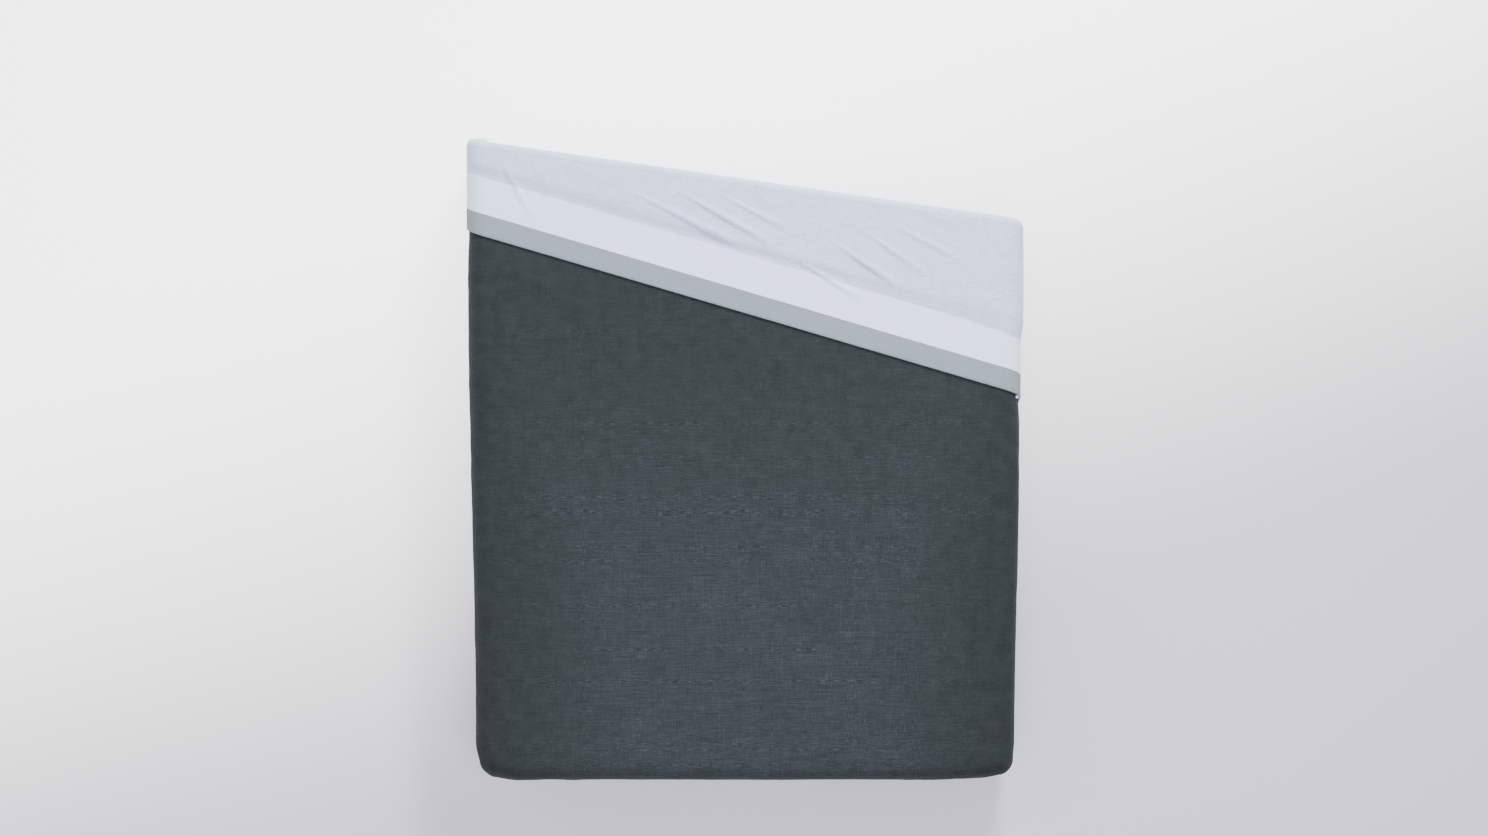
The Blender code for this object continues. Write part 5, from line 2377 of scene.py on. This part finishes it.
    def pin(self, length: float) -> bpy.types.Object:
        """The pin between the ears, with a flat head at each end."""
        swing = joint("zip_pull_swing")
        bpy.ops.object.select_all(action="DESELECT")
        bpy.ops.mesh.primitive_cylinder_add(
            vertices=24, radius=2 * self.clearance, depth=length, location=swing["pos_m"],
            rotation=(pi / 2, 0, 0),
        )
        made = bpy.context.object
        bpy.ops.object.transform_apply(location=True, rotation=True)
        bpy.ops.object.mode_set(mode="EDIT")
        for sign in (-1, 1):
            choose(made, lambda centre, normal: normal.y * sign > 0.9)
            extrude(0, sign * 0.0002, 0)
            bpy.ops.transform.resize(value=(0.7, 1, 0.7))
        bpy.ops.object.mode_set(mode="OBJECT")
        return made

    def pull(self) -> bpy.types.Object:
        """The pull: a barrel round the pin and a tab with a round end and a recess."""
        low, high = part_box("zip_pull")
        pin = Vector(joint("zip_pull_swing")["pos_m"])
        outer = high.z - pin.z
        thin = 0.0008
        foot, top = Vector((pin.x - thin, low.y, low.z)), Vector((pin.x + thin, high.y, pin.z - outer * 0.7))
        made = box_piece("zip_tab", foot, top)
        bpy.ops.object.mode_set(mode="EDIT")
        bpy.ops.mesh.select_mode(type="EDGE")
        bpy.ops.mesh.select_all(action="DESELECT")
        bm = bmesh.from_edit_mesh(made.data)
        for edge in bm.edges:
            ends = [v.co for v in edge.verts]
            edge.select_set(abs(ends[0].x - ends[1].x) > thin and max(e.z for e in ends) < low.z + thin)
        bmesh.update_edit_mesh(made.data)
        bpy.ops.mesh.bevel(offset=(high.y - low.y) * 0.42, segments=6)
        for sign in (-1, 1):
            choose(made, lambda centre, normal: normal.x * sign > 0.9)
            bpy.ops.mesh.inset(thickness=0.0007)
            bpy.ops.transform.translate(value=(-sign * 0.0003, 0, 0))
        bpy.ops.object.mode_set(mode="OBJECT")
        soften(made, 0.00015)
        rods = []
        for radius, depth in ((outer, high.y - low.y), (3 * self.clearance, 2 * (high.y - low.y))):
            bpy.ops.object.select_all(action="DESELECT")
            bpy.ops.mesh.primitive_cylinder_add(
                vertices=32, radius=radius, depth=depth, location=pin, rotation=(pi / 2, 0, 0)
            )
            bpy.ops.object.transform_apply(location=True, rotation=True)
            rods.append(bpy.context.object)
        barrel, bore = rods
        fuse(made, barrel)
        hole = made.modifiers.new("bore", "BOOLEAN")
        hole.operation, hole.object = "DIFFERENCE", bore
        apply_all(made)
        bpy.data.objects.remove(bore)
        shade(made)
        return made


# --- studio --------------------------------------------------------------------------------------


@dataclass(frozen=True)
class Studio:
    """A pale floor glowing with painted light, soft light from the head's right, and a camera straight
    above.
    """

    floor_half: float = 14.0
    camera_height: float = 6.05
    camera_y: float = -0.006
    lens: float = 50.0

    def build(self) -> None:
        """Builds the floor, the lights and the camera."""
        self.build_floor()
        for name, place, size, power, tint in (
            ("key", (1.2, 4.4, 3.0), 1.1, 560.0, (1.0, 0.985, 0.99)),
            ("fill", (-3.4, 0.6, 4.4), 4.0, 80.0, (0.95, 0.97, 1.0)),
            ("top", (0.3, -1.3, 5.6), 3.0, 320.0, (1.0, 0.99, 1.0)),
        ):
            self.light(name, Vector(place), size, power, tint)
        world = bpy.data.worlds.new("pale_room")
        world.use_nodes = True
        world.node_tree.nodes["Background"].inputs[0].default_value = (0.90, 0.93, 1.0, 1)
        world.node_tree.nodes["Background"].inputs[1].default_value = 0.80
        bpy.context.scene.world = world
        self.build_camera()

    def build_floor(self) -> None:
        """A seamless floor just under the lowest hem, glowing with painted light that fades from top left.
        """
        bpy.ops.object.select_all(action="DESELECT")
        height = CAD_BOX[0].z - 0.004
        bpy.ops.mesh.primitive_grid_add(
            x_subdivisions=8, y_subdivisions=8, size=2 * self.floor_half, location=(0, 0, height)
        )
        floor = bpy.context.object
        floor.name = "studio_floor"
        bpy.ops.object.transform_apply(location=True)
        made, graph, shader = start_material("studio_paper_painted_glow")
        place = graph.node("ShaderNodeTexCoord").outputs["Object"]
        grain = graph.noise(place, 0.35, 2.0)
        graph.feed(
            shader.inputs["Base Color"],
            graph.mix(grain, (0.56, 0.55, 0.58, 1), (0.61, 0.60, 0.63, 1)),
        )
        shader.inputs["Roughness"].default_value = 0.9
        # Painted light: the floor glows brightest towards the top left, fading to the right, the foot and
        # far out.
        split = graph.node("ShaderNodeSeparateXYZ")
        graph.feed(split.inputs[0], place)
        away = graph.math("SUBTRACT", graph.math("MULTIPLY", split.outputs[0], 0.35), split.outputs[1])
        painted_glow = graph.mix(graph.ranged(away, -1.2, 1.0), (0.99, 0.98, 1, 1), (0.02, 0.01, 0.02, 1))
        distance = graph.node("ShaderNodeVectorMath", operation="LENGTH")
        graph.feed(distance.inputs[0], place)
        far = graph.ranged(distance.outputs["Value"], 2.3, 7.0)
        painted_glow = graph.mix(far, painted_glow, (0.30, 0.30, 0.31, 1))
        graph.feed(shader.inputs["Emission Color"], painted_glow)
        shader.inputs["Emission Strength"].default_value = 3.2
        floor.data.materials.append(made)

    def light(self, name: str, place: Vector, size: float, power: float, tint: Colour) -> None:
        """One square soft light, aimed at the middle of the duvet.

        Args:
            name: Its name.
            place: Where it hangs.
            size: Length of its side.
            power: Its power in watts.
            tint: Its colour.
        """
        lamp = bpy.data.lights.new(name, "AREA")
        lamp.shape, lamp.size, lamp.energy, lamp.color = "SQUARE", size, power, tint
        obj = bpy.data.objects.new(name, lamp)
        obj.location = place
        obj.rotation_euler = (-place).to_track_quat("-Z", "Y").to_euler()
        bpy.context.scene.collection.objects.link(obj)

    def build_camera(self) -> None:
        """The camera, looking straight down with the head of the bed at the top."""
        lens = bpy.data.cameras.new("camera")
        lens.lens, lens.sensor_width = self.lens, 36.0
        obj = bpy.data.objects.new("camera", lens)
        obj.location = (0.0, self.camera_y, self.camera_height)
        bpy.context.scene.collection.objects.link(obj)
        bpy.context.scene.camera = obj


def main() -> None:
    """Builds each sub-assembly in order."""
    logging.basicConfig(level=logging.INFO, format="%(name)s: %(message)s")
    layout = Layout.read()
    drape = Drape(layout)
    grid = BodyGrid(layout)
    kit, needle = Kit(), Needle()
    Studio().build()
    Cover(drape, grid).build(kit, needle)
    Insert(drape, grid).build(kit)
    Fold(drape).build(kit)
    TurnedEnd(drape).build(kit, needle)
    FootTies(drape).build(kit)
    build_label(drape, kit)
    Zip().build(kit)


if __name__ == "__main__":
    main()
